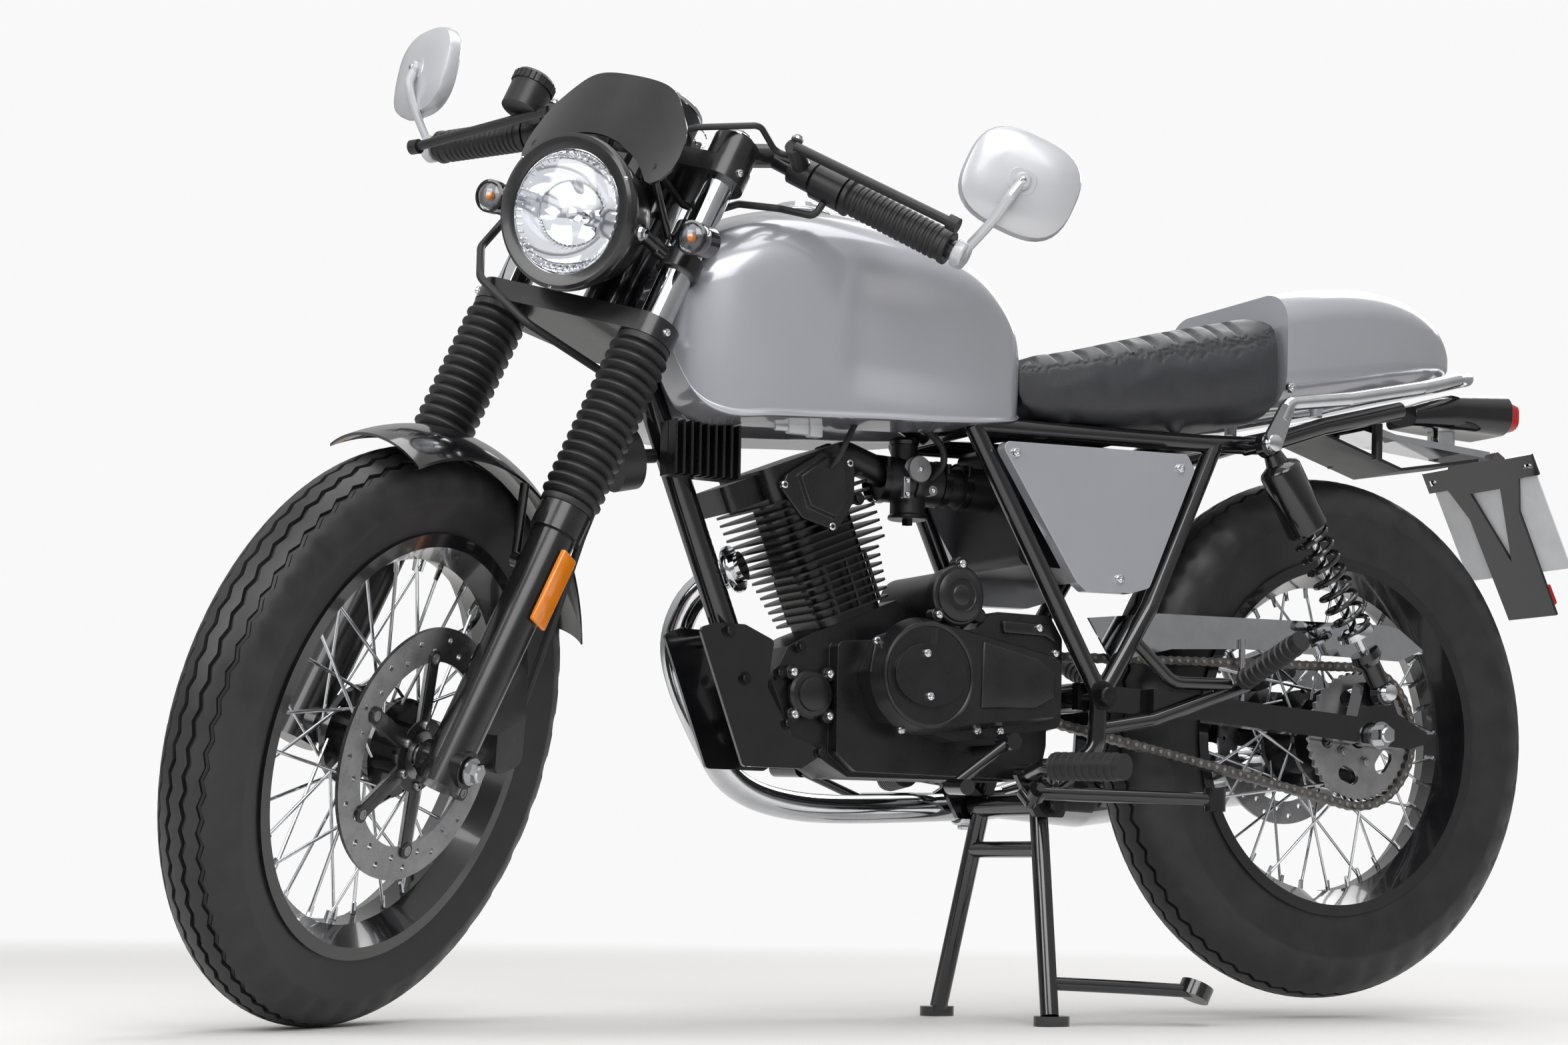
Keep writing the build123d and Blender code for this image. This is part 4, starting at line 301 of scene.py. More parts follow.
@dataclass
class Studio:
    """The camera at the photograph's place, the floor and the lights."""

    camera_place: Point = (1.7995, 2.6434, 0.1580)
    yaw: float = 29.4735
    pitch: float = 0.2596
    roll: float = 1.0155
    focal_px: float = 3944.66
    centre_px: tuple[float, float] = (1162.65, 1312.46)
    floor_half: float = 40.0
    floor_colour: Colour = (0.80, 0.79, 0.78)
    fade: tuple[float, float] = (1.3, 4.2)
    background: float = 0.95
    room_light: float = 0.38
    gloss_heights: tuple[float, float] = (0.05, 0.75)
    gloss_lights: tuple[float, float] = (0.34, 0.85)
    aim: Point = (0.1, 0, 0.5)

    def build(self) -> None:
        """Set up everything that isn't part of the motorcycle."""
        self.add_camera()
        self.add_floor()
        self.add_world()
        self.add_lamps()
        bpy.context.scene.view_settings.view_transform = "Standard"

    def add_camera(self) -> None:
        """Place the camera and give it the photograph's lens and shift."""
        yaw, pitch, roll = (math.radians(turn) for turn in (self.yaw, self.pitch, self.roll))
        ahead = Vector((-math.sin(yaw) * math.cos(pitch), -math.cos(yaw) * math.cos(pitch), math.sin(pitch)))
        right = ahead.cross(Vector((0, 0, 1))).normalized()
        up = right.cross(ahead)
        right, up = right * math.cos(roll) + up * math.sin(roll), up * math.cos(roll) - right * math.sin(roll)
        data = bpy.data.cameras.new("photo camera")
        data.sensor_width = 36.0
        data.lens = self.focal_px * data.sensor_width / PHOTO_WIDTH
        data.shift_x = (PHOTO_WIDTH / 2 - self.centre_px[0]) / PHOTO_WIDTH
        data.shift_y = (self.centre_px[1] - PHOTO_HEIGHT / 2) / PHOTO_WIDTH
        data.clip_start = 0.05
        camera = bpy.data.objects.new("photo_camera", data)
        turned = Matrix((right, up, -ahead)).transposed().to_4x4()
        camera.matrix_world = Matrix.Translation(self.camera_place) @ turned
        bpy.context.scene.collection.objects.link(camera)
        bpy.context.scene.camera = camera

    def add_floor(self) -> None:
        """Lay the pale floor."""
        mesh = bmesh.new()
        bmesh.ops.create_grid(mesh, x_segments=1, y_segments=1, size=self.floor_half)
        floor = new_object("floor", mesh)
        material = bpy.data.materials.new("pale floor")
        material.use_nodes = True
        tree = material.node_tree
        shader = tree.nodes["Principled BSDF"]
        feed(tree, shader, {"Base Color": (*self.floor_colour, 1.0), "Roughness": 0.9})
        # Far from the motorcycle the floor runs out into the white background
        far = add_node(tree, "VectorMath", {0: add_node(tree, "TexCoord").outputs["Object"]}, operation="LENGTH")
        share = add_node(tree, "MapRange", {
            "Value": far.outputs["Value"], "From Min": self.fade[0], "From Max": self.fade[1]},
            interpolation_type="SMOOTHSTEP")
        camera_ray = add_node(tree, "LightPath").outputs["Is Camera Ray"]
        seen = add_node(tree, "Math", {0: camera_ray, 1: share.outputs["Result"]}, operation="MULTIPLY")
        white = add_node(tree, "Emission", {"Strength": self.background})
        both = add_node(tree, "MixShader", {"Fac": seen.outputs[0], 1: shader.outputs[0], 2: white.outputs[0]})
        feed(tree, tree.nodes["Material Output"], {"Surface": both.outputs[0]})
        floor.data.materials.append(material)

    def add_world(self) -> None:
        """A white surrounding for the camera and through glass, and a plain grey light."""
        world = bpy.data.worlds.new("studio")
        bpy.context.scene.world = world
        world.use_nodes = True
        tree = world.node_tree
        tree.nodes.clear()
        pure = (1.0, 1.0, 1.0, 1.0)
        light = add_node(tree, "Background", {"Color": pure, "Strength": self.room_light}).outputs[0]
        seen = add_node(tree, "Background", {"Color": pure, "Strength": self.background}).outputs[0]
        path = add_node(tree, "LightPath").outputs
        through = add_node(tree, "Math", {0: path["Is Camera Ray"], 1: path["Is Transmission Ray"]},
                           operation="MAXIMUM")
        # Gloss sees a room that is dark at eye level and bright overhead
        height = add_node(tree, "SeparateXYZ", {0: add_node(tree, "TexCoord").outputs["Generated"]})
        rise = add_node(tree, "MapRange", {
            "Value": height.outputs["Z"], "From Min": self.gloss_heights[0], "From Max": self.gloss_heights[1],
            "To Min": self.gloss_lights[0], "To Max": self.gloss_lights[1]}, interpolation_type="SMOOTHSTEP")
        sky = add_node(tree, "Background", {"Strength": rise.outputs["Result"]}).outputs[0]
        mirrored = add_node(tree, "MixShader", {"Fac": path["Is Glossy Ray"], 1: light, 2: sky}).outputs[0]
        choose = add_node(tree, "MixShader", {"Fac": through.outputs[0], 1: mirrored, 2: seen}).outputs[0]
        add_node(tree, "OutputWorld", {"Surface": choose})

    def add_lamps(self) -> None:
        """Hang four large soft lamps: on the left, in front, behind and overhead."""
        for name, place, size, power in (
            ("left lamp", (1.6, 3.2, 3.0), 2.6, 90.0),
            ("front lamp", (3.6, 0.8, 2.2), 2.0, 55.0),
            ("back lamp", (-2.8, -1.6, 3.0), 2.4, 60.0),
            ("top lamp", (0.0, 0.2, 3.6), 2.4, 45.0),
        ):
            data = bpy.data.lights.new(name, "AREA")
            data.shape = "SQUARE"
            data.size = size
            data.energy = power
            lamp = bpy.data.objects.new(name, data)
            aim = (Vector(self.aim) - Vector(place)).to_track_quat("-Z", "Y")
            lamp.matrix_world = Matrix.Translation(place) @ aim.to_matrix().to_4x4()
            bpy.context.scene.collection.objects.link(lamp)


def new_object(name: str, mesh: bmesh.types.BMesh) -> bpy.types.Object:
    """Make an object from a bmesh at the origin, smooth over its shallow edges.

    Args:
        name: The object's name.
        mesh: The finished bmesh, in metres; it is freed.

    Returns:
        The new object.
    """
    data = bpy.data.meshes.new(name)
    mesh.to_mesh(data)
    mesh.free()
    data.polygons.foreach_set("use_smooth", [True] * len(data.polygons))
    data.set_sharp_from_angle(angle=SHARP_ANGLE)
    made = bpy.data.objects.new(name, data)
    bpy.context.scene.collection.objects.link(made)
    return made


def pointing(place: Iterable[float], axis: Iterable[float]) -> Matrix:
    """Return a matrix that moves a shape drawn round Z to a place, with Z turned along an axis."""
    return Matrix.Translation(Vector(place)) @ Vector(axis).to_track_quat("Z", "Y").to_matrix().to_4x4()


def around(count: int, radius: float, height: float = 0.0, first: float = 0.0) -> list[Vector]:
    """Return evenly spaced points of a circle round Z.

    Args:
        count: How many points.
        radius: The circle's radius.
        height: How far up Z it lies.
        first: The turn of the first point in degrees.

    Returns:
        The points, in the order of their turns.
    """
    turns = (math.radians(first + 360.0 * number / count) for number in range(count))
    return [Vector((radius * math.cos(turn), radius * math.sin(turn), height)) for turn in turns]


class Piece:
    """A new piece of the scene while it is being modelled, in millimetres in a frame of its own."""

    def __init__(self, name: str, finish: Finish, body: Body = Body.CHASSIS, matrix: Matrix | None = None) -> None:
        """Start an empty piece.

        Args:
            name: The piece's name.
            finish: The finish of its whole surface.
            body: The body of the record that it rides on.
            matrix: From the frame that it is drawn in to the scene's metres; the body's own when left out.
        """
        self.name = name
        self.finish = finish
        self.body = body.label
        self.matrix = matrix or body.matrix
        self.mesh = bmesh.new()

    def lathe(self, profile: Profile, place: Point = (0, 0, 0), axis: Point = (0, 0, 1),
              steps: int = 32) -> list[bmesh.types.BMVert]:
        """Turn an outline of radius and height round an axis.

        Args:
            profile: Points of radius and height.
            place: The point of the axis at height zero.
            axis: The way in which height grows.
            steps: How many flats the round has.

        Returns:
            The vertices that were added.
        """
        before = set(self.mesh.verts)
        points = [self.mesh.verts.new((radius, 0, height)) for radius, height in profile]
        edges = [self.mesh.edges.new(pair) for pair in zip(points, points[1:])]
        bmesh.ops.spin(self.mesh, geom=points + edges, cent=(0, 0, 0), axis=(0, 0, 1), dvec=(0, 0, 0),
                       angle=2 * math.pi, steps=steps, use_merge=True, use_duplicate=False)
        made = [vert for vert in self.mesh.verts if vert not in before]
        bmesh.ops.remove_doubles(self.mesh, verts=made, dist=0.002)
        made = [vert for vert in self.mesh.verts if vert not in before]
        bmesh.ops.transform(self.mesh, matrix=pointing(place, axis), verts=made)
        return made

    def rod(self, start: Iterable[float], end: Iterable[float], radius: float, sides: int = 20,
            end_radius: float | None = None) -> None:
        """Add a straight round rod, or a cone when the end's radius differs."""
        start, end = Vector(start), Vector(end)
        made = bmesh.ops.create_cone(self.mesh, cap_ends=True, segments=sides, radius1=radius,
                                     radius2=radius if end_radius is None else end_radius, depth=(end - start).length)
        bmesh.ops.transform(self.mesh, matrix=pointing((start + end) / 2, end - start), verts=made["verts"])

    def block(self, centre: Iterable[float], size: Iterable[float], turn: Matrix | None = None,
              rounded: float = 0.0) -> None:
        """Add a box, turned and with rounded edges when asked for.

        Args:
            centre: Its middle.
            size: Its three lengths.
            turn: A rotation about its middle.
            rounded: The radius of its edges.
        """
        made = bmesh.ops.create_cube(self.mesh, size=1.0)["verts"]
        bmesh.ops.scale(self.mesh, vec=Vector(size), verts=made)
        if rounded:
            edges = list({edge for vert in made for edge in vert.link_edges})
            round_off = bmesh.ops.bevel(self.mesh, geom=edges, offset=rounded, segments=3, profile=0.5,
                                        affect="EDGES", material=-1)
            made = list(set(round_off["verts"]) | {vert for vert in made if vert.is_valid})
        place = Matrix.Translation(Vector(centre)) @ (turn.to_4x4() if turn else Matrix.Identity(4))
        bmesh.ops.transform(self.mesh, matrix=place, verts=made)

    def dome_bolt(self, place: Point, axis: Point, radius: float) -> None:
        """Add a domed bolt head with a socket, standing on a face."""
        r = radius
        self.lathe([(r, -1.0), (r, r * 0.35), (r * 0.86, r * 0.68), (r * 0.6, r * 0.84), (r * 0.42, r * 0.84),
                    (r * 0.38, r * 0.3), (0, r * 0.3)], place, axis, 16)

    def hex_bolt(self, place: Point, axis: Point, radius: float) -> None:
        """Add a six-sided bolt head with a washer under it."""
        start, way = Vector(place), Vector(axis).normalized()
        self.rod(start - way, start + way * 1.4, radius * 1.35, 20)
        self.rod(start + way * 1.2, start + way * radius * 0.95, radius, 6)
        self.rod(start + way * radius * 0.9, start + way * radius * 1.1, radius * 0.8, 16, radius * 0.62)

    def cable(self, route: Sequence[Point], radius: float, sides: int = 3) -> None:
        """Add a round cable along a smooth curve through the middle of a route's corners."""
        curve = bpy.data.curves.new("route", "CURVE")
        curve.dimensions = "3D"
        curve.bevel_depth = radius
        curve.bevel_resolution = sides
        curve.use_fill_caps = True
        curve.resolution_u = 6
        spline = curve.splines.new("NURBS")
        spline.points.add(len(route) - 1)
        for point, place in zip(spline.points, route):
            point.co = (*place, 1.0)
        spline.order_u = 3
        spline.use_endpoint_u = True
        holder = bpy.data.objects.new("route", curve)
        mesh = bpy.data.meshes.new_from_object(holder)
        self.mesh.from_mesh(mesh)
        bpy.data.objects.remove(holder)
        bpy.data.meshes.remove(mesh)
        bpy.data.curves.remove(curve)

    def spring(self, start: Point, end: Point, radius: float, wire: float, turns: int) -> None:
        """Add a coil spring between two points."""
        place = pointing(start, Vector(end) - Vector(start))
        length = (Vector(end) - Vector(start)).length
        # A curve of order three cuts inside its corners, so the corners lie a little further out
        reach = radius / math.cos(math.pi / 8) ** 2
        count = turns * 8
        route = []
        for step in range(count + 1):
            turn = step * math.pi / 4
            point = place @ Vector((reach * math.cos(turn), reach * math.sin(turn), length * step / count))
            route.append(tuple(point))
        self.cable(route, wire, 2)

    def put(self, *replaced: str, slot: str | None = None) -> bpy.types.Object:
        """Finish the piece: face its surface outwards, dress it and let it ride on its body.

        Args:
            replaced: The CAD nodes that it stands for.
            slot: A material slot of the record; not used.

        Returns:
            The new object.
        """
        bmesh.ops.recalc_face_normals(self.mesh, faces=self.mesh.faces)
        bmesh.ops.transform(self.mesh, matrix=self.matrix, verts=self.mesh.verts)
        made = new_object(self.name, self.mesh)
        made.data.materials.append(self.finish.material())
        if replaced:
            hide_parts(*replaced)
        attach(made, self.body)
        LOG.info("made %s with %d faces", self.name, len(made.data.polygons))
        return made


def soft_copy(node: str, finish: Finish, width: float, segments: int) -> bpy.types.Object:
    """Stand a copy of a CAD node of the chassis with rounded edges in its place.

    Args:
        node: The CAD node.
        finish: The copy's finish.
        width: The width of the rounded edges in millimetres.
        segments: How many faces round an edge.

    Returns:
        The copy.
    """
    mesh = bmesh.new()
    mesh.from_mesh(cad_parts[node].data)
    bmesh.ops.remove_doubles(mesh, verts=mesh.verts, dist=0.00002)
    bmesh.ops.dissolve_limit(mesh, angle_limit=math.radians(1.5), verts=mesh.verts, edges=mesh.edges,
                             use_dissolve_boundaries=False, delimit={"NORMAL"})
    copy = new_object(node + "_rounded", mesh)
    round_off = copy.modifiers.new("rounded edges", "BEVEL")
    round_off.width = width * MM
    round_off.segments = segments
    round_off.limit_method = "ANGLE"
    round_off.angle_limit = math.radians(35)
    round_off.use_clamp_overlap = True
    round_off.harden_normals = False
    copy.data.materials.append(finish.material())
    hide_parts(node)
    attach(copy, "chassis")
    LOG.info("rounded %s", node)
    return copy


@dataclass
class Tyre:
    """A tyre with cut grooves, turned from one outline and then shifted ring by ring."""

    name: str
    body: Body
    radius: float
    width: float
    rim_width: float
    grooves: tuple[float, ...]
    steps: int
    zigzag: float
    notch: float
    bead_r: float = 220.3
    flange_r: float = 231.0
    groove_half: float = 2.6
    groove_depth: float = 4.5
    crown_inset: float = 0.1

    def outline(self) -> list[tuple[float, float]]:
        """Return the tyre's section as radius and distance to the left, with its grooves."""
        crown = self.width / 2
        centre_r = self.radius - crown - self.crown_inset
        bead = self.rim_width / 2 - 3.8
        turns: list[tuple[float, float]] = [(turn, 0.0) for turn in range(-90, 91, 6)]
        half = math.degrees(self.groove_half / crown)
        for middle in self.grooves:
            turns = [pair for pair in turns if abs(pair[0] - middle) > half * 1.7]
            turns += [(middle - half, 0.0), (middle - half * 0.6, self.groove_depth),
                      (middle + half * 0.6, self.groove_depth), (middle + half, 0.0)]
        rounded = []
        for turn, cut in sorted(turns):
            reach, lean = crown - cut, math.radians(turn)
            rounded.append((centre_r + reach * math.cos(lean), reach * math.sin(lean)))
        return [(self.bead_r, -bead), (self.flange_r, -bead), *rounded, (self.flange_r, bead), (self.bead_r, bead),
                (self.bead_r, -bead)]

    def build(self) -> None:
        """Turn the tyre and cut its zigzags and its shoulder notches."""
        piece = Piece(self.name + "_treaded", TYRE_RUBBER, self.body)
        piece.lathe(self.outline(), steps=self.steps)
        crown = self.width / 2
        centre_r = self.radius - crown
        for vert in piece.mesh.verts:
            place = vert.co
            r = math.hypot(place.x, place.y)
            out = math.atan2(place.z, r - centre_r)
            reach = math.hypot(r - centre_r, place.z)
            if r < centre_r or reach < crown - self.groove_depth - 1:
                continue
            around = math.atan2(place.y, place.x)
            ring = round(around / (2 * math.pi) * self.steps)
            lean = abs(math.degrees(out))
            if lean < 50:
                out += math.radians(self.zigzag) * (1 if ring % 2 else -1)
            elif 53 < lean < 83 and ring % 4 == 0:
                reach -= self.notch
            new_r = centre_r + reach * math.cos(out)
            vert.co = Vector((new_r * math.cos(around), new_r * math.sin(around), reach * math.sin(out)))
        piece.put(self.name)


@dataclass
class Wheels:
    """Both tyres, the spoke nipples, the front disc's carrier, the hub bolts and the axle nuts."""

    spoke_pairs: int = 9
    nipple_r: float = 3.2
    seat_r: float = 198.0

    def build(self) -> None:
        """Build every piece of both wheels."""
        Tyre("front_tyre", Body.FRONT_WHEEL, 313.0, 92.0, 74.0, (-33.0, -11.0, 11.0, 33.0), 144, 2.6, 2.6).build()
        Tyre("rear_tyre", Body.REAR_WHEEL, 338.0, 112.0, 92.0, (-24.0, 0.0, 24.0), 144, 3.2, 3.6).build()
        self.add_nipples("front", Body.FRONT_WHEEL)
        self.add_nipples("rear", Body.REAR_WHEEL)
        self.add_disc_carrier()
        self.add_rear_disc_bolts()
        self.add_axle_ends()

    def add_nipples(self, name: str, body: Body) -> None:
        """Seat a nipple at the rim end of every spoke."""
        piece = Piece(name + "_nipples", CHROME, body)
        step = 180.0 / self.spoke_pairs
        for side in (-1, 1):
            for pair in range(self.spoke_pairs):
                for way in (-1, 1):
                    turn = math.radians(pair * 2 * step + (side + 1) / 2 * step + way * step / 4)
                    out = Vector((math.cos(turn), math.sin(turn), 0))
                    top = out * (self.seat_r - 0.5) + Vector((0, 0, side * 7))
                    piece.rod(top - out * 13, top, self.nipple_r * 0.8, 8, self.nipple_r)
        piece.put()

    def add_disc_carrier(self) -> None:
        """Lay the dark carrier of the front disc over its arms, with its rivets and bolts."""
        carrier = Piece("front_disc_carrier", FORK_BLACK, Body.FRONT_WHEEL)
        carrier.lathe([(40, 58.2), (40, 59.6), (26, 59.6), (26, 58.2), (40, 58.2)], steps=48)
        for arm in range(6):
            turn = math.radians(arm * 60)
            way = Matrix.Rotation(turn, 3, "Z")
            carrier.block(way @ Vector((69, 0, 58.9)), (66, 17, 1.6), way, 0.6)
            carrier.rod(way @ Vector((104, 0, 58.2)), way @ Vector((104, 0, 60.6)), 9, 20)
        carrier.put()
        bolts = Piece("front_disc_bolts", STEEL, Body.FRONT_WHEEL)
        for inner, outer in zip(around(6, 33, 60), around(6, 104)):
            bolts.dome_bolt(inner, (0, 0, 1), 5.0)
            bolts.lathe([(5.5, 60), (5.5, 61.6), (3.5, 61.6), (3.5, 60.8), (0, 60.8)], outer, (0, 0, 1), 16)
        bolts.put()

    def add_rear_disc_bolts(self) -> None:
        """Bolt the rear disc and the sprocket to the hub."""
        bolts = Piece("rear_hub_bolts", STEEL, Body.REAR_WHEEL)
        for left, right in zip(around(5, 34, 80.5, 36), around(5, 26, -68, 36)):
            bolts.hex_bolt(left, (0, 0, 1), 6.0)
            bolts.dome_bolt(right, (0, 0, -1), 4.5)
        bolts.put()

    def add_axle_ends(self) -> None:
        """Put nuts on the ends of both axles."""
        front = Piece("front_axle_nuts", CHROME, Body.FORK, Body.FRONT_WHEEL.matrix)
        for side in (-1, 1):
            front.hex_bolt((0, 0, side * 124), (0, 0, side), 11.0)
        front.put()
        rear = Piece("rear_axle_nuts", CHROME, Body.CHASSIS, Body.REAR_WHEEL.matrix)
        rear.hex_bolt((0, 0, 121.5), (0, 0, 1), 13.0)
        rear.hex_bolt((0, 0, -112.5), (0, 0, -1), 13.0)
        rear.put()


@dataclass
class Seat:
    """The padded seat: a swollen cover with cross ribs sewn into its top and a seam round its edge."""

    voxel: float = 0.0055
    pressure: float = 3.5
    cap: float = 0.007
    shrink: float = 0.982
    rib_front: float = 0.010
    rib_pitch: float = 0.0315
    rib_count: int = 10
    rib_half: float = 0.0062
    rib_depth: float = 0.0050
    rib_up: float = 0.55
    seam_up: float = 0.42
    seam_half: float = 0.08
    seam_depth: float = 0.0022
    seam_front: float = 0.05
    frames: int = 20

    def build(self) -> None:
        """Make the cover from the CAD solid, swell it and sew it."""
        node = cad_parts["seat"]
        mesh = bmesh.new()
        mesh.from_mesh(node.data)
        bmesh.ops.remove_doubles(mesh, verts=mesh.verts, dist=0.00005)
        low, high = (Vector(corner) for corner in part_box("seat"))
        middle = (low + high) / 2
        bmesh.ops.transform(mesh, matrix=Matrix.Translation(middle) @ Matrix.Scale(self.shrink, 4)
                            @ Matrix.Translation(-middle), verts=mesh.verts)
        pad = new_object("seat_cover", mesh)
        self.remesh(pad)
        self.swell(pad)
        self.settle(pad)
        self.subdivide(pad)
        self.sew(pad)
        pad.data.polygons.foreach_set("use_smooth", [True] * len(pad.data.polygons))
        pad.data.materials.append(SEAT_LEATHER.material())
        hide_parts("seat")
        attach(pad, "chassis")
        LOG.info("padded the seat with %d faces", len(pad.data.polygons))

    def apply(self, pad: bpy.types.Object) -> None:
        """Bake the modifiers of the pad into its mesh."""
        baked = bpy.data.meshes.new_from_object(pad.evaluated_get(bpy.context.evaluated_depsgraph_get()))
        pad.modifiers.clear()
        pad.data = baked

    def remesh(self, pad: bpy.types.Object) -> None:
        """Give the pad even faces."""
        even = pad.modifiers.new("even faces", "REMESH")
        even.mode = "VOXEL"
        even.voxel_size = self.voxel
        self.apply(pad)

    def swell(self, pad: bpy.types.Object) -> None:
        """Blow the cover up a little as cloth, and cap how far any point moves."""
        start = [vert.co.copy() for vert in pad.data.vertices]
        cloth = pad.modifiers.new("padding", "CLOTH")
        cloth.settings.quality = 5
        cloth.settings.use_pressure = True
        cloth.settings.uniform_pressure_force = self.pressure
        cloth.settings.effector_weights.gravity = 0.0
        cloth.point_cache.frame_start = 1
        cloth.point_cache.frame_end = self.frames
        for number in range(1, self.frames + 1):
            bpy.context.scene.frame_set(number)
        self.apply(pad)
        bpy.context.scene.frame_set(1)
        for vert, home in zip(pad.data.vertices, start):
            moved = vert.co - home
            if moved.length > self.cap:
                vert.co = home + moved.normalized() * self.cap

    def settle(self, pad: bpy.types.Object) -> None:
        """Ease the small creases out of the swollen cover."""
        easing = pad.modifiers.new("settled", "SMOOTH")
        easing.factor = 0.5
        easing.iterations = 14
        self.apply(pad)

    def subdivide(self, pad: bpy.types.Object) -> None:
        """Round the cover off once."""
        finer = pad.modifiers.new("rounder", "SUBSURF")
        finer.levels = 1
        finer.render_levels = 1
        self.apply(pad)

    def sew(self, pad: bpy.types.Object) -> None:
        """Press the cross ribs and the edge seam into the cover."""
        for vert in pad.data.vertices:
            up = vert.normal.z
            if up > self.rib_up:
                along = (self.rib_front - vert.co.x) / self.rib_pitch
                nearest = round(along)
                if 0 <= nearest < self.rib_count:
                    off = abs(along - nearest) * self.rib_pitch
                    if off < self.rib_half:
                        depth = self.rib_depth * (1 - (off / self.rib_half) ** 2)
                        vert.co.z -= depth * min(1.0, (up - self.rib_up) / 0.3)
            elif abs(up - self.seam_up) < self.seam_half and vert.co.x < self.seam_front:
                vert.co -= vert.normal * self.seam_depth * (1 - abs(up - self.seam_up) / self.seam_half)


@dataclass
class Headlight:
    """The headlight: a bowl with a bezel, a faceted reflector, a bulb and a thin curved glass."""

    bezel_r: float = 83.0
    glass_r: float = 65.4
    ear_low: float = 598.0
    ear_high: float = 620.0

    def build(self) -> None:
        """Build the shell, what is in it and the glass."""
        shell = Piece("headlight_shell", FORK_BLACK, Body.FORK)
        shell.mesh.free()
        shell.mesh = self.shell_mesh()
        for side in (-1, 1):
            ear = [(18.6, self.ear_low), (23, self.ear_low), (24.5, self.ear_low + 1.5), (24.5, self.ear_high - 1.5),
                   (23, self.ear_high), (18.6, self.ear_high), (18.6, self.ear_low)]
            shell.lathe(ear, (FORK_OFFSET, side * FORK_HALF, 0), steps=32)
            shell.rod((100.6, side * 60, 614), (60, side * 84, 610), 8)
            shell.block((67, side * 82, 609.5), (26, 10, 16), Matrix.Rotation(side * -0.55, 3, "Z"), 3)
        shell.put("headlight")
        reflector = Piece("headlight_reflector", REFLECTOR, Body.FORK, LAMP_FRAME)
        reflector.lathe([(65, -3), (63, -12), (57, -26), (47, -40), (34, -51), (20, -58), (9, -60), (9, -62), (20, -60),
                         (35, -53), (49, -41), (59, -27), (65, -13), (66.5, -3), (65, -3)], steps=30)
        reflector.put()
        bulb = Piece("headlight_bulb", CHROME, Body.FORK, LAMP_FRAME)
        bulb.lathe([(9, -62), (9, -48), (7, -46), (7, -40), (0, -40)], steps=20)
        bulb.lathe([(8, -24), (8, -16), (6.5, -13), (0, -12)], steps=20)
        for side in (-1, 1):
            bulb.rod((side * 6, 0, -42), (side * 7, 0, -18), 0.9, 8)
        bulb.put()
        tube = Piece("headlight_bulb_glass", LAMP_GLASS, Body.FORK, LAMP_FRAME)
        tube.lathe([(5.6, -40), (5.6, -20), (4, -17), (0, -16)], steps=16)
        tube.put()
        glass = Piece("headlight_glass", LAMP_GLASS, Body.FORK, LAMP_FRAME)
        glass.lathe([(0, 12.4), (18, 12), (38, 10), (56, 6), (63, 2.4), (self.glass_r, -1), (self.glass_r, -5),
                     (63, -5), (62, -0.6), (55, 3.6), (37, 7.6), (18, 9.6), (0, 10)], steps=64)
        glass.put("headlight_lens")
        ring = Piece("headlight_flutes", LAMP_GLASS, Body.FORK, LAMP_FRAME)
        for start, end in zip(around(48, 58, -6), around(48, 61.5, -1)):
            ring.rod(start, end, 1.6, 6)
        ring.put()
        screws = Piece("headlight_screws", CHROME, Body.FORK, LAMP_FRAME)
        for turn in (35, 145, 270):
            screws.dome_bolt(around(1, 79.5, 0, turn)[0], (0, 0, 1), 2.6)
        for side in (-1, 1):
            screws.hex_bolt((side * 76, -4, -34), (side, 0, 0), 6.5)
        screws.put()

    def shell_mesh(self) -> bmesh.types.BMesh:
        """Return the open bowl with its bezel, in the fork's frame."""
        bowl = Piece("bowl", FORK_BLACK, Body.FORK)
        bowl.lathe([(0, -103.9), (24, -103.9), (40, -98), (54, -86), (65, -68), (72, -46), (75, -22), (76, -16),
                    (82.2, -13), (self.bezel_r, -9), (self.bezel_r, -4), (81.5, 0.5), (78, 3), (72, 2.4), (66.2, 0.4),
                    (66, -5), (71, -14), (68, -46), (60, -68), (46, -84), (20, -98), (0, -98)], steps=72)
        to_fork = Body.FORK.matrix.inverted() @ LAMP_FRAME
        bmesh.ops.transform(bowl.mesh, matrix=to_fork, verts=bowl.mesh.verts)
        return bowl.mesh


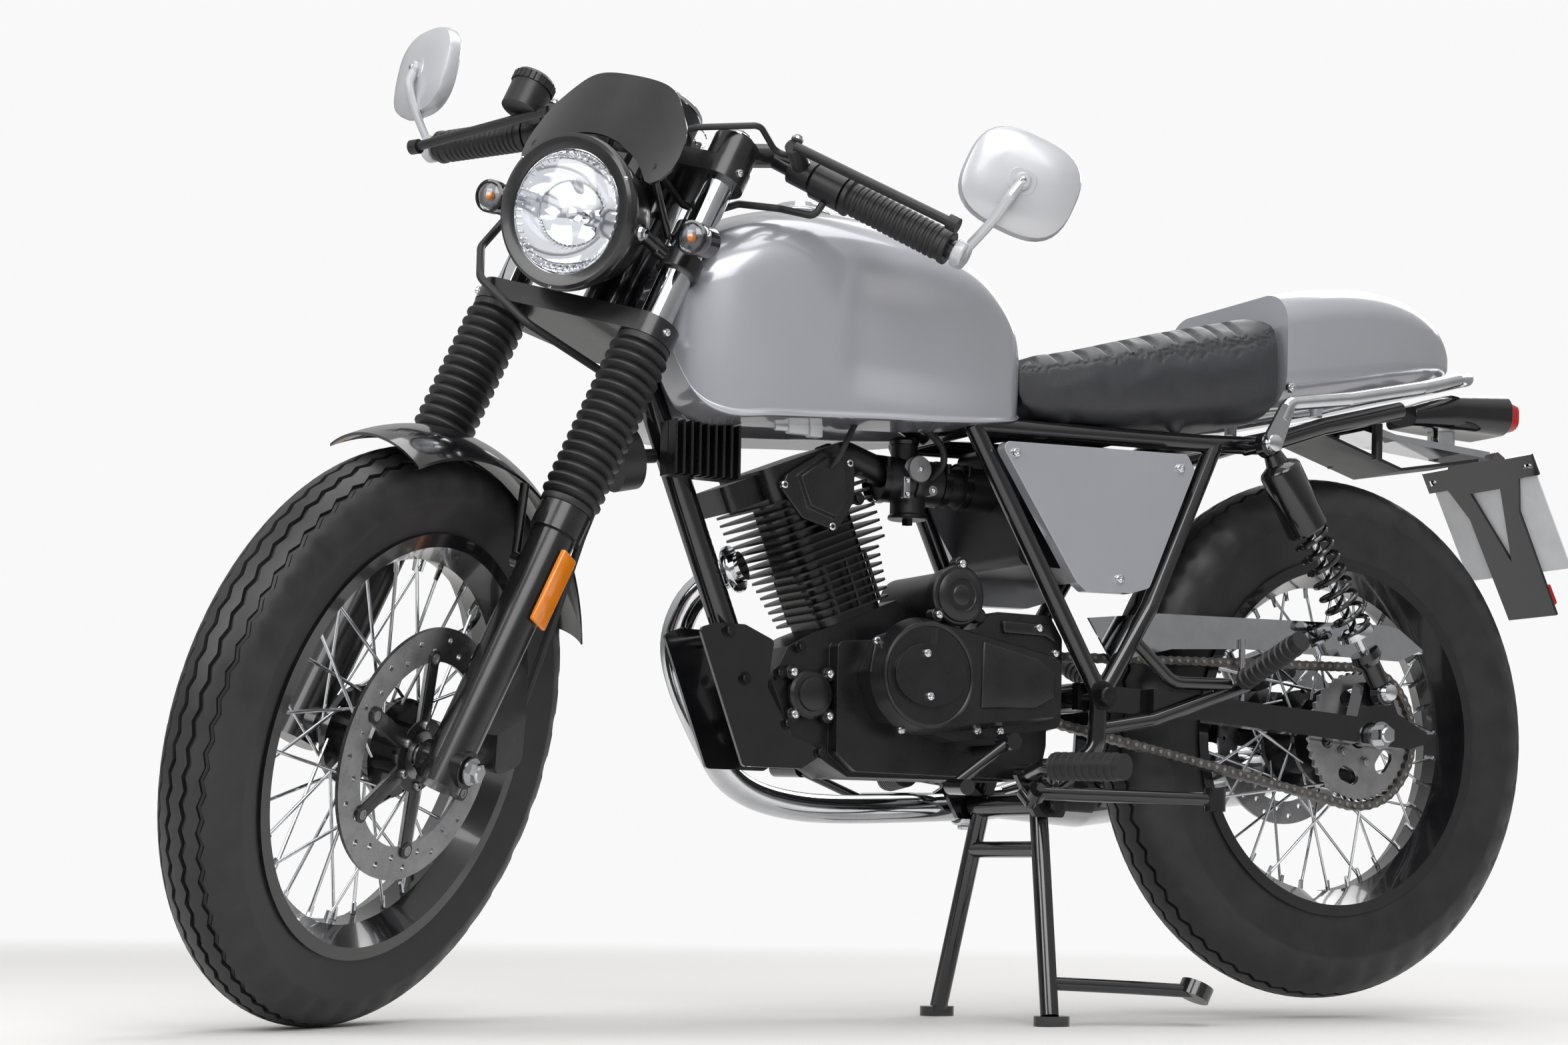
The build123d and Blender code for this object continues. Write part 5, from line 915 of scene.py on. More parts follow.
@dataclass
class Cockpit:
    """Grips, reservoir, instrument, key, mirrors and the small lamps on the steered frame."""

    bar_in: Point = (4.0, 112.0, 786.0)
    bar_out: Point = (-45.0, 347.0, 742.0)

    def on_bar(self, side: int, share: float, ahead: float = 0.0, up: float = 0.0) -> Vector:
        """Return a point on a side's bar at a share of its length, moved ahead and up."""
        point = Vector(self.bar_in).lerp(Vector(self.bar_out), share)
        return Vector((point.x + ahead, side * point.y, point.z + up))

    def build(self) -> None:
        """Build every piece of the cockpit."""
        self.add_grips()
        self.add_controls()
        self.add_instrument()
        self.add_key()
        self.add_mirrors()
        self.add_position_lenses()
        self.add_clamp_bolts()

    def add_grips(self) -> None:
        """Pull a ribbed rubber grip over each bar."""
        grips = Piece("bar_grips", RUBBER, Body.FORK)
        length = (Vector(self.bar_out) - Vector(self.bar_in)).length * 0.55
        profile = [(16.6, 0), (20.5, 0), (21.5, 2), (21.5, 6), (17.6, 8)]
        count = 15
        for rib in range(count):
            at = 12 + rib * (length - 24) / count
            profile += [(17.2, at), (18.6, at + 1.6), (18.6, at + 4.2), (17.2, at + 5.6)]
        profile += [(17.4, length - 8), (19, length - 6), (19, length - 1), (17, length), (16.6, length), (16.6, 0)]
        for side in (-1, 1):
            start = self.on_bar(side, 0.42)
            grips.lathe(profile, start, self.on_bar(side, 0.97) - start, 28)
        grips.put()

    def add_controls(self) -> None:
        """Dress the controls: the reservoir's cap, the switches, the lever pivots and the clamp bolts."""
        caps = Piece("reservoir_cap", PLASTIC, Body.FORK)
        top = self.on_bar(-1, 0.36, ahead=50, up=34)
        ribs = [(24.0, -9), (25.4, -9), (25.4, 1), (23, 4.5), (17, 5.2), (15, 4), (0, 4)]
        caps.lathe(ribs, top, (0, 0, 1), 36)
        for low, high in zip(around(24, 25, -8.5), around(24, 25, 1)):
            caps.rod(top + low, top + high, 1.3, 6)
        for side in (-1, 1):
            for place, share in ((0.30, 0.7), (0.36, -0.6)):
                caps.block(self.on_bar(side, place, ahead=-14, up=14 * share), (13, 9, 8), None, 2)
        caps.put()
        bolts = Piece("control_bolts", CHROME, Body.FORK)
        for side, up in ((-1, -7.3), (1, 4.7)):
            pivot = self.on_bar(side, 0.19, ahead=44, up=up)
            bolts.hex_bolt(pivot + Vector((0, 0, 9)), (0, 0, 1), 5.0)
            bolts.dome_bolt(self.on_bar(side, 0.15, ahead=17, up=5), (1, 0, 0.3), 3.5)
            bolts.dome_bolt(self.on_bar(side, 0.22, ahead=17, up=5), (1, 0, 0.3), 3.5)
        bolts.put()

    def add_instrument(self) -> None:
        """Lay a chrome ring and a dial with plain marks and a needle on the instrument."""
        at = (62.0, 0.0, 786.3)
        ring = Piece("instrument_ring", CHROME, Body.FORK)
        ring.lathe([(42, -3), (43, -2), (43, 2), (41, 4), (38, 3), (37.5, 0.5), (42, -3)], at, steps=48)
        ring.put()
        dial = Piece("instrument_dial", PLASTIC, Body.FORK)
        dial.lathe([(0, 0.4), (38, 0.4), (38, 0.9), (0, 0.9)], at, steps=40)
        dial.put()
        marks = Piece("instrument_marks", PLATE_WHITE, Body.FORK)
        for mark in range(13):
            turn = math.radians(150 + mark * 20)
            way = Matrix.Rotation(turn, 3, "Z")
            long = 7.0 if mark % 2 == 0 else 4.0
            marks.block(Vector(at) + way @ Vector((34 - long / 2, 0, 1.2)), (long, 1.2, 0.6), way)
        needle = Matrix.Rotation(math.radians(152), 3, "Z")
        marks.block(Vector(at) + needle @ Vector((13, 0, 2)), (26, 1.4, 0.8), needle)
        marks.rod(Vector(at) + Vector((0, 0, 1)), Vector(at) + Vector((0, 0, 2.8)), 4)
        marks.put()

    def add_key(self) -> None:
        """Stand the key in its lock, behind the steering stem."""
        key = Piece("ignition_key", STEEL, Body.FORK)
        key.lathe([(0, 738.2), (13, 738.2), (14, 741), (14, 750), (12, 753), (0, 753)], (-16, 0, 0), steps=28)
        key.block((-16, 0, 765), (1.8, 8, 26), None, 0.4)
        key.put()
        bow = Piece("key_bow", PLASTIC, Body.FORK)
        bow.block((-16, 0, 786), (5, 22, 24), None, 2.4)
        bow.put()
        ring = Piece("key_ring", CHROME, Body.FORK)
        ring.lathe([(9.2, 0), (10.2, 1), (11.2, 0), (10.2, -1), (9.2, 0)], (-16, 6, 803), (0.4, 1, 0.2), 32)
        ring.put()

    def add_mirrors(self) -> None:
        """Stand a domed shell with a glass for each mirror on a round arm from the bar's end."""
        shells = Piece("mirror_shells", MIRROR_SILVER, Body.FORK)
        glass = Piece("mirror_glass", MIRROR_GLASS, Body.FORK)
        screws = Piece("mirror_screws", CHROME, Body.FORK)
        for side in (-1, 1):
            ahead = Vector((0.82, side * 0.48, -0.25)).normalized()
            across = Vector((-0.5, side * 0.85, 0)).normalized()
            across = (across - ahead * across.dot(ahead)).normalized()
            up = ahead.cross(across)
            turn = Matrix((across, up, ahead)).transposed().to_4x4()
            middle = Matrix.Translation(Vector((-33.0, side * 391.0, 829.0))) @ turn
            self.add_shell(shells, middle)
            face = glass.lathe([(0, -1.4), (57.5, -1.4), (57.5, -0.6), (0, -0.6)], steps=48)
            self.square_off(face)
            bmesh.ops.transform(glass.mesh, matrix=middle, verts=face)
            screws.dome_bolt(middle @ Vector((0, 0, 28.0)), ahead, 4.0)
            end = self.on_bar(side, 1.0)
            out = (self.on_bar(side, 1.1) - end).normalized()
            shells.lathe([(0, 0.3), (15, 0.3), (16, 1.5), (16, 11), (14.5, 13), (6, 13), (5.5, 11), (0, 11)], end, out,
                         32)
            elbow = Vector((-9, side * 398, 798))
            top = middle @ Vector((0, 0, 24))
            shells.cable([tuple(end + out * 7), tuple(end.lerp(elbow, 0.6) + out * 7), tuple(elbow),
                          tuple(elbow.lerp(top, 0.4)), tuple(top)], 5.6)
            shells.lathe([(0, -3), (9, -3), (9.5, 2), (7, 5), (0, 5)], top, ahead, 24)
        shells.put("mirrors")
        glass.put()
        screws.put()

    def square_off(self, verts: Iterable[bmesh.types.BMVert], high: float = 0.84) -> None:
        """Draw a round shape out to the mirror's outline, between an ellipse and a rectangle.

        Args:
            verts: The round shape's vertices, about its own axis.
            high: The outline's height as a share of its width.
        """
        for vert in verts:
            r = math.hypot(vert.co.x, vert.co.y)
            if r < 0.01:
                continue
            c, d = abs(vert.co.x / r), abs(vert.co.y / r)
            grow = (c ** 2.9 + d ** 2.9) ** (-1 / 2.9)
            vert.co.x *= grow
            vert.co.y *= grow * high

    def add_shell(self, piece: Piece, place: Matrix) -> None:
        """Add one mirror's shell: a rim, a soft dome and a raised boss in its middle."""
        shell = piece.lathe([(0, 0), (58, 0), (59, -1.5), (62, -1.5), (64, 1), (64, 9), (62, 15), (54, 19), (34, 21),
                             (16, 21.6), (15, 22.6), (0, 22.6)], steps=48)
        self.square_off(shell)
        bmesh.ops.transform(piece.mesh, matrix=place, verts=shell)

    def add_position_lenses(self) -> None:
        """Close each position lamp with a clear domed lens over a bulb."""
        lenses = Piece("position_lenses", LAMP_GLASS, Body.FORK)
        rings = Piece("position_rings", GLOSS_PLASTIC, Body.FORK)
        bulbs = Piece("position_bulbs", AMBER, Body.FORK)
        for side in (-1, 1):
            face = Vector((105, side * 130, 615))
            ahead = Vector((30, 0, -14)).normalized()
            rings.lathe([(17.1, -12), (18.2, -10), (18.2, 3), (15.6, 3.5), (15.4, -0.4), (17, -12)], face, ahead, 32)
            lenses.lathe([(15.3, 0), (14, 4), (9, 7.5), (0, 9), (0, 7.4), (8.5, 6), (13, 2.6), (13.6, 0), (15.3, 0)],
                         face, ahead, 32)
            bulbs.lathe([(5, 0.2), (5, 2), (3.5, 4.6), (0, 5.2)], face, ahead, 16)
        for piece in (rings, lenses, bulbs):
            piece.put()

    def add_clamp_bolts(self) -> None:
        """Put caps on the fork tubes, a nut on the steering stem and pinch bolts on the clamps."""
        caps = Piece("fork_caps", CHROME, Body.FORK)
        for side in (-1, 1):
            caps.lathe([(18.4, 771.5), (18.4, 774), (16.5, 775.5), (11, 775.5)], (FORK_OFFSET, side * FORK_HALF, 0),
                       steps=32)
            caps.rod((FORK_OFFSET, side * FORK_HALF, 775), (FORK_OFFSET, side * FORK_HALF, 781), 10.5, 6)
        caps.lathe([(20, 738), (20, 741), (0, 741)], (0, 0, 0), steps=32)
        caps.rod((0, 0, 741), (0, 0, 748), 16, 6)
        caps.lathe([(10, 748), (10, 752), (6, 755), (0, 755)], steps=24)
        for side in (-1, 1):
            for u, v, w in ((60, 122, 523), (58, 119, 727)):
                caps.dome_bolt((u, side * v, w), (0.35, side, 0), 4.5)
        caps.put()


@dataclass
class TankShell:
    """The tank: a cube drawn out over stations along its length, with a knee recess and a seam lip."""

    cuts: int = 39
    lip: float = 6.0
    recess: float = 11.0
    recess_front: float = 288.0
    tunnel_half: float = 31.0
    stations: tuple[tuple[float, float, float, float, float], ...] = (
        # x, half width, bottom, shoulder, top
        (28, 76, 718, 768, 797), (46, 93, 709, 800, 842), (80, 106, 702, 828, 884), (120, 116, 696, 842, 908),
        (180, 123, 690, 850, 924), (243, 125.5, 686, 852, 931.5), (323, 125.5, 680, 850, 932),
        (388, 122, 676, 840, 918), (440, 111, 674, 826, 893), (474, 96, 696, 810, 864), (497, 77, 752, 794, 830),
    )

    def station(self, x: float) -> tuple[float, float, float, float]:
        """Return half width, bottom, shoulder and top at a place along the tank, smooth between stations."""
        table = self.stations
        number = max(index for index, row in enumerate(table[:-1]) if row[0] <= x or index == 0)
        here, there = table[number], table[number + 1]
        before, after = table[max(number - 1, 0)], table[min(number + 2, len(table) - 1)]
        span = there[0] - here[0]
        share = min(1.0, max(0.0, (x - here[0]) / span))
        values = []
        for column in range(1, 5):
            leave = (there[column] - before[column]) / (there[0] - before[0]) * span
            arrive = (after[column] - here[column]) / (after[0] - here[0]) * span
            s2, s3 = share ** 2, share ** 3
            values.append((2 * s3 - 3 * s2 + 1) * here[column] + (s3 - 2 * s2 + share) * leave
                          + (3 * s2 - 2 * s3) * there[column] + (s3 - s2) * arrive)
        return values[0], values[1], values[2], values[3]

    def side_point(self, x: float, across: float, height: float) -> tuple[float, float]:
        """Return y and z on the section at x, for a point on the edge of a square from -1 to 1."""
        half_w, low, shoulder, top = self.station(x)
        on_side = abs(across) >= abs(height)
        if on_side or height < 0:
            row = (height + 1) / 2
            # The two lowest rows are close together and stand out as the seam's lip
            share = row * 0.055 / 0.072 if row < 0.072 else 0.055 + (row - 0.072) * 0.945 / 0.928
            lean = 1.0 - 0.035 * (1 - share) ** 2
            y = math.copysign(half_w * lean, across) if on_side else half_w * lean * across
            z = low + (shoulder - low) * share
            if on_side and row < 0.045:
                y += math.copysign(self.lip, across)
            return y, z
        turn = across * math.pi / 2
        crown = math.copysign(abs(math.sin(turn)) ** 0.92, across)
        return half_w * crown, shoulder + (top - shoulder) * math.cos(turn) ** 0.86

    def build(self) -> None:
        """Shape the cube, press the knee recess and free the frame's tunnel."""
        shell = Piece("tank_shell", TANK_SILVER)
        bmesh.ops.create_cube(shell.mesh, size=2.0)
        bmesh.ops.subdivide_edges(shell.mesh, edges=shell.mesh.edges, cuts=self.cuts, use_grid_fill=True)
        rear, front = self.stations[0][0], self.stations[-1][0]
        for vert in shell.mesh.verts:
            along, across, height = vert.co
            # The rows crowd towards both ends, where the form turns in
            x = rear + (front - rear) * (0.5 + 0.32 * math.sin(along * math.pi / 2) + 0.18 * along)
            ring = max(abs(across), abs(height))
            if ring < 0.02:
                y, z = 0.0, (self.station(x)[1] + self.station(x)[3]) / 2
            else:
                y, z = self.side_point(x, across / ring, height / ring)
                middle = (self.station(x)[1] + self.station(x)[3]) / 2
                y, z = y * ring, middle + (z - middle) * ring
            if abs(along) > 0.999:
                x += math.copysign(4.0, along) * (1 - ring ** 2) - math.copysign(3.0, along) * ring ** 6
            y -= math.copysign(self.knee(x, z), y) if abs(y) > 60 else 0.0
            x, z = self.tunnel(x, y, z, height, along)
            vert.co = (x, y, z)
        made = shell.put("fuel_tank")
        rounder = made.modifiers.new("rounder", "SUBSURF")
        rounder.levels = 1
        rounder.render_levels = 1

    def knee(self, x: float, z: float) -> float:
        """Return how deep the knee recess is at a place of the side."""
        def soft(value: float) -> float:
            value = min(1.0, max(0.0, value))
            return value * value * (3 - 2 * value)
        band = soft((z - 700) / 52) * soft((868 - z) / 62)
        crease = 4.5 * math.exp(-((x - self.recess_front + 6) / 9) ** 2)
        return band * (self.recess * soft((self.recess_front - x) / 18) * soft((x - 50) / 190) + crease)

    def tunnel(self, x: float, y: float, z: float, height: float, along: float) -> tuple[float, float]:
        """Return x and z with the underside raised over the frame's spine and the nose notched round the head."""
        if abs(y) > self.tunnel_half:
            return x, z
        if height < -0.99 and x > 96:
            roof = 736 + (min(x, 444) - 98) * 0.40
            z = max(z, min(roof, self.station(x)[3] - 16))
        if along > 0.999:
            x -= 40
        return x, z


@dataclass
class Flyscreen:
    """The flyscreen: a grid drawn to its outline, bent round a drum and leaned back, on two stays."""

    lamp_w: float = LAMP_PLACE[2]
    arch_r: float = 92.0
    bend_r: float = 200.0
    centre_u: float = -31.1
    lean: float = math.radians(10)
    thick: float = 3.2
    widths: tuple[float, ...] = (76, 88, 93, 93, 90, 84, 70)
    top: float = 178.0

    def build(self) -> None:
        """Shape the sheet and stand it on its stays."""
        sheet = Piece("flyscreen_sheet", SCREEN_BLACK, Body.FORK)
        bmesh.ops.create_grid(sheet.mesh, x_segments=32, y_segments=28, size=1.0)
        for vert in sheet.mesh.verts:
            across, up = vert.co.x, (vert.co.y + 1) / 2
            place = up * (len(self.widths) - 1)
            number = min(int(place), len(self.widths) - 2)
            half = self.widths[number] + (self.widths[number + 1] - self.widths[number]) * (place - number)
            v = across * half
            low = math.sqrt(max(self.arch_r ** 2 - v ** 2, 42.0 ** 2))
            high = self.top - 26 * abs(across) ** 5
            w = self.lamp_w + low + (high - low) * up
            u = self.centre_u + math.sqrt(self.bend_r ** 2 - v ** 2) - (w - 632) * math.tan(self.lean)
            vert.co = (u, v, w)
        self.thicken(sheet)
        for side in (-1, 1):
            foot = Vector((66.9, side * 78.4, 619.6))
            sheet.rod(foot, foot + Vector((0, 0, 10)), 3.2)
            sheet.rod(foot + Vector((0, 0, 9)), (140, side * 73, 664), 4)
            sheet.rod((140, side * 73, 664), (148, side * 73, 665), 6, 16)
        sheet.put("flyscreen")

    def thicken(self, sheet: Piece) -> None:
        """Give the bent sheet its thickness: a second skin behind it and a closed edge."""
        face = list(sheet.mesh.faces)
        extra = bmesh.ops.duplicate(sheet.mesh, geom=list(sheet.mesh.verts) + list(sheet.mesh.edges) + face)["geom"]
        behind = [item for item in extra if isinstance(item, bmesh.types.BMVert)]
        back = [item for item in extra if isinstance(item, bmesh.types.BMFace)]
        bmesh.ops.translate(sheet.mesh, verts=behind, vec=(-self.thick, 0, 0))
        bmesh.ops.reverse_faces(sheet.mesh, faces=back)
        rims = [edge for edge in sheet.mesh.edges if edge.is_boundary]
        bmesh.ops.bridge_loops(sheet.mesh, edges=rims)


@dataclass
class Gaiters:
    """The rubber bellows between the fork legs and the lower clamp."""

    low: float = 303.4
    high: float = 510.6
    ribs: int = 15
    inner_r: float = 18.9
    valley_r: float = 26.6
    peak_r: float = 33.2

    def build(self) -> None:
        """Turn both bellows."""
        bellows = Piece("fork_bellows", RUBBER, Body.FORK)
        cuff = 9.0
        pitch = (self.high - self.low - 2 * cuff) / self.ribs
        profile = [(self.inner_r, self.low), (29.5, self.low), (30.2, self.low + 1.5), (30.2, self.low + cuff - 2)]
        for rib in range(self.ribs):
            at = self.low + cuff + rib * pitch
            profile += [(self.valley_r, at), (self.peak_r - 1.6, at + pitch * 0.28), (self.peak_r, at + pitch * 0.42),
                        (self.peak_r, at + pitch * 0.58), (self.peak_r - 1.6, at + pitch * 0.72)]
        profile += [(self.valley_r, self.high - cuff), (30.2, self.high - cuff + 2), (30.2, self.high),
                    (self.inner_r, self.high), (self.inner_r, self.low)]
        for side in (-1, 1):
            bellows.lathe(profile, (FORK_OFFSET, side * FORK_HALF, 0), steps=40)
        bellows.put("gaiters")


@dataclass
class Bodywork:
    """The tank, the side covers, the fuel cap and the screws of the panels."""

    def build(self) -> None:
        """Build the painted panels and their trim."""
        TankShell().build()
        soft_copy("side_covers", TANK_SILVER, 7.5, 4)
        self.add_cap()
        self.add_screws()

    def add_cap(self) -> None:
        """Turn the fuel cap with its flange and set its lock."""
        cap = Piece("fuel_cap_top", CHROME)
        cap.lathe([(32, 931), (38, 932.5), (39, 935), (36, 938), (30, 940.5), (29, 944), (26, 946.5), (10, 947.5),
                   (9, 945.5), (0, 945.5)], (290, 0, 0), steps=48)
        cap.block((290, 0, 947), (10, 3, 2.5), None, 0.5)
        cap.put("fuel_cap")

    def add_screws(self) -> None:
        """Set the domed screws of the cowl and of the side covers."""
        screws = Piece("panel_screws", CHROME)
        for side in (-1, 1):
            screws.dome_bolt((-347, side * 119.5, 787), (0, side, 0), 6.5)
            for x, z in ((60, 668), (-180, 672), (-92, 532)):
                screws.dome_bolt((x, side * 116, z), (0, side, 0), 6.0)
        screws.put()


@dataclass
class Engine:
    """Covers, bolts, clamps, hoses and the lead of the engine, and the header pipe."""

    def build(self) -> None:
        """Dress the engine's blocks and add its fasteners."""
        for node, width in (("left_engine_cover", 3.0), ("crankcase", 2.5), ("head_cover", 1.2)):
            soft_copy(node, ENGINE_BLACK, width, 2)
        self.add_covers()
        self.add_bolts()
        self.add_exhaust_trim()
        self.add_carburettor_trim()
        self.add_spark_lead()

    def panel(self, piece: Piece, outline: Profile, low: float, high: float, rounded: float) -> None:
        """Add a flat cover with rounded edges on the engine's left side.

        Args:
            piece: The piece that it is added to.
            outline: Its corners as x and z.
            low: The y that it stands on.
            high: The y of its face.
            rounded: The radius of its edges.
        """
        corners = [piece.mesh.verts.new((x, low, z)) for x, z in outline]
        base = piece.mesh.faces.new(corners)
        raised = bmesh.ops.extrude_face_region(piece.mesh, geom=[base])["geom"]
        top = [item for item in raised if isinstance(item, bmesh.types.BMVert)]
        bmesh.ops.translate(piece.mesh, verts=top, vec=(0, high - low, 0))
        edges = list({edge for vert in corners + top for edge in vert.link_edges})
        bmesh.ops.bevel(piece.mesh, geom=edges, offset=rounded, segments=3, profile=0.5, affect="EDGES", material=-1)

    def add_covers(self) -> None:
        """Add the small covers, rims and lugs of the engine's left side."""
        covers = Piece("engine_side_covers", ENGINE_BLACK)
        left = (0, 1, 0)
        covers.lathe([(56, -2), (56.5, 1.2), (58.5, 2.2), (61, 1.2), (61.5, -2)], (171, 112, 403), left, 64)
        self.panel(covers, [(98, 446), (100, 368), (24, 372), (-4, 386), (-4, 414), (20, 430)], 110, 114.5, 2.2)
        self.panel(covers, [(60, 474), (58, 459), (0, 459), (-18, 452), (-6, 474)], 90, 97, 2.5)
        self.panel(covers, [(226, 402), (208, 444), (214, 452), (232, 446), (240, 404)], 90, 95, 2.0)
        covers.lathe([(30, -6), (35.5, -5), (35.5, 2), (33.5, 4), (31, 4.5), (30, 7), (24, 10), (19, 10.5), (18, 9.3),
                      (12, 9.3), (10, 10.6), (0, 11)], (121, 92, 499), left, 48)
        for x, z in ((117, 536), (148, 475), (90, 478)):
            covers.lathe([(8.5, -12), (8.5, 0.4), (7.5, 1.2), (0, 1.2)], (x, 92, z), left, 24)
        covers.lathe([(27, -0.5), (28, 1), (28, 6), (25, 9), (20, 10), (19, 13), (12, 15), (0, 15.5)], (292, 46.8, 378),
                     left, 40)
        for x, z in ((268, 402), (316, 402), (268, 354), (314, 354)):
            covers.lathe([(8.5, -0.5), (8.5, 5), (7.5, 6), (0, 6)], (x, 46.8, z), left, 20)
            covers.rod((x, 49, z), (292 + (x - 292) * 0.7, 49, 378 + (z - 378) * 0.7), 5, 12)
        covers.put()

    def add_bolts(self) -> None:
        """Put the domed and the six-sided bolts where the engine carries them."""
        domes = Piece("engine_bolts", CHROME)
        for x, y, z in ((256, 66.5, 643), (341, 66.5, 611), (278, 66.5, 569), (179, 118, 427), (174, 118, 378),
                        (231, 92.5, 440), (196, 92.5, 340), (92, 92.5, 344), (177, 92.5, 455), (120, 92.5, 452),
                        (10, 97.5, 468), (-18, 92.5, 440), (117, 93.2, 536), (148, 93.2, 475), (268, 52.8, 402),
                        (316, 52.8, 402), (268, 52.8, 354), (314, 52.8, 354), (222, 95.5, 424), (60, 92.5, 345)):
            domes.dome_bolt((x, y, z), (0, 1, 0), 5.2)
        domes.put()
        hexes = Piece("engine_nuts", BLACK_STEEL)
        for x, y, z, r in ((331, 46.8, 401, 8), (320, 46.8, 344, 8), (304, 46.8, 432, 7), (376, 46.8, 392, 8),
                           (397, 46.8, 445, 9), (276, 46.8, 313, 8), (243, 66.5, 604, 8)):
            hexes.hex_bolt((x, y, z), (0, 1, 0), r * 0.72)
            if y < 50:
                hexes.hex_bolt((x, -y, z), (0, -1, 0), r * 0.72)
        for side in (-1, 1):
            hexes.hex_bolt((-66, side * 123.0, 391), (0, side, 0), 13)
            hexes.hex_bolt((-20, side * 88.0, 262), (0, side, 0), 11)
        hexes.put()

    def add_exhaust_trim(self) -> None:
        """Clamp the header to the head and the silencer to the header."""
        trim = Piece("exhaust_trim", CHROME)
        start, knee = Vector((352, -6, 526)), Vector((386, -46, 508))
        way = (knee - start).normalized()
        trim.lathe([(17.6, 8), (27, 8), (28, 10), (28, 15), (26, 17), (17.6, 17), (17.6, 8)], start, way, 32)
        end, before = Vector((-20, -112, 262)), Vector((120, -110, 253))
        back = (end - before).normalized()
        trim.lathe([(20.6, -4), (23, -3), (23, 18), (21, 19), (20.6, -4)], end, back, 32)
        trim.block(end + back * 8 + Vector((0, 0, -25)), (14, 8, 8), None, 1.5)
        trim.put()
        header = Piece("exhaust_pipe", CHROME)
        header.cable([(352, -6, 526), (386, -46, 508), (409, -67, 452), (401, -70, 400), (362, -74, 330),
                      (322, -82, 276), (240, -98, 254), (120, -110, 253), (-20, -112, 262)], 17.5, 7)
        header.put("exhaust_header")
        studs = Piece("exhaust_studs", STEEL)
        side_way = way.cross(Vector((0, 0, 1))).normalized()
        for side in (-1, 1):
            place = start + way * 17 + side_way * side * 22
            studs.hex_bolt(tuple(place), tuple(way), 5.0)
        studs.put()

    def add_carburettor_trim(self) -> None:
        """Add the carburettor's caps, drum and screws, its hoses and their clamps, and a wiring plug."""
        body = Piece("carburettor_trim", ENGINE_BLACK)
        body.lathe([(28, -3), (30, -2), (30, 2), (28, 3), (22, 3), (22, -3), (28, -3)], (135, 0, 641), (1, 0, 0), 36)
        body.lathe([(22, 596), (23.5, 597), (23.5, 600), (22, 602), (21, 602), (21, 596), (22, 596)], (134, 0, 0),
                   steps=32)
        body.lathe([(0, 684), (17, 684), (18, 688), (15, 692), (0, 693)], (140, 0, 0), steps=28)
        body.lathe([(7, 590), (7, 596), (0, 596)], (134, 0, 0), steps=6)
        body.put()
        body = Piece("throttle_drum", CAST_GREY)
        body.lathe([(0, 22), (15, 22), (16, 24), (13, 26), (13, 30), (16, 32), (15, 34), (0, 34)], (138, 0, 652),
                   (0, 1, 0), 28)
        body.block((152, 24, 630), (10, 8, 26), None, 1.5)
        body.rod((120, 20, 628), (120, 34, 628), 6, 16)
        body.put()
        screws = Piece("carburettor_screws", CHROME)
        for x, y, z in ((138, 34, 652), (152, 28, 638), (152, 28, 622), (120, 34, 628)):
            screws.dome_bolt((x, y, z), (0, 1, 0), 3.4)
        screws.put()
        fuel = Piece("fuel_hose", RUBBER)
        fuel.cable([(120, 24, 640), (112, 44, 652), (116, 50, 676), (130, 44, 692), (140, 40, 700)], 4.2)
        fuel.put()
        plug = Piece("wiring_plug", PLATE_WHITE)
        plug.block((322, 62, 676), (26, 10, 11), None, 1.2)
        plug.block((300, 62, 676), (16, 13, 14), None, 1.2)
        plug.rod((335, 62, 676), (350, 60, 676), 3.5, 12)
        plug.put()
        clamps = Piece("hose_clamps", BLACK_STEEL)
        for x in (176, 92, 62):
            clamps.lathe([(27.4, -5), (28.2, -5), (28.2, 5), (27.4, 5), (27.4, -5)], (x, 0, 641), (1, 0, 0), 36)
            clamps.rod((x, 24, 651), (x, 24, 663), 3.4, 12)
        clamps.put()

    def add_spark_lead(self) -> None:
        """Run the ignition lead from the plug cap up under the tank."""
        lead = Piece("spark_lead", RUBBER)
        lead.cable([(286, 60, 628), (284, 84, 636), (270, 88, 668), (252, 74, 690), (236, 60, 700)], 3.6)
        lead.lathe([(8, 0), (8.6, 3), (8.6, 14), (6, 20), (6, 30), (4, 33), (0, 33)], (290, 58, 606), (-0.1, 0.25, 1),
                   20)
        lead.put()


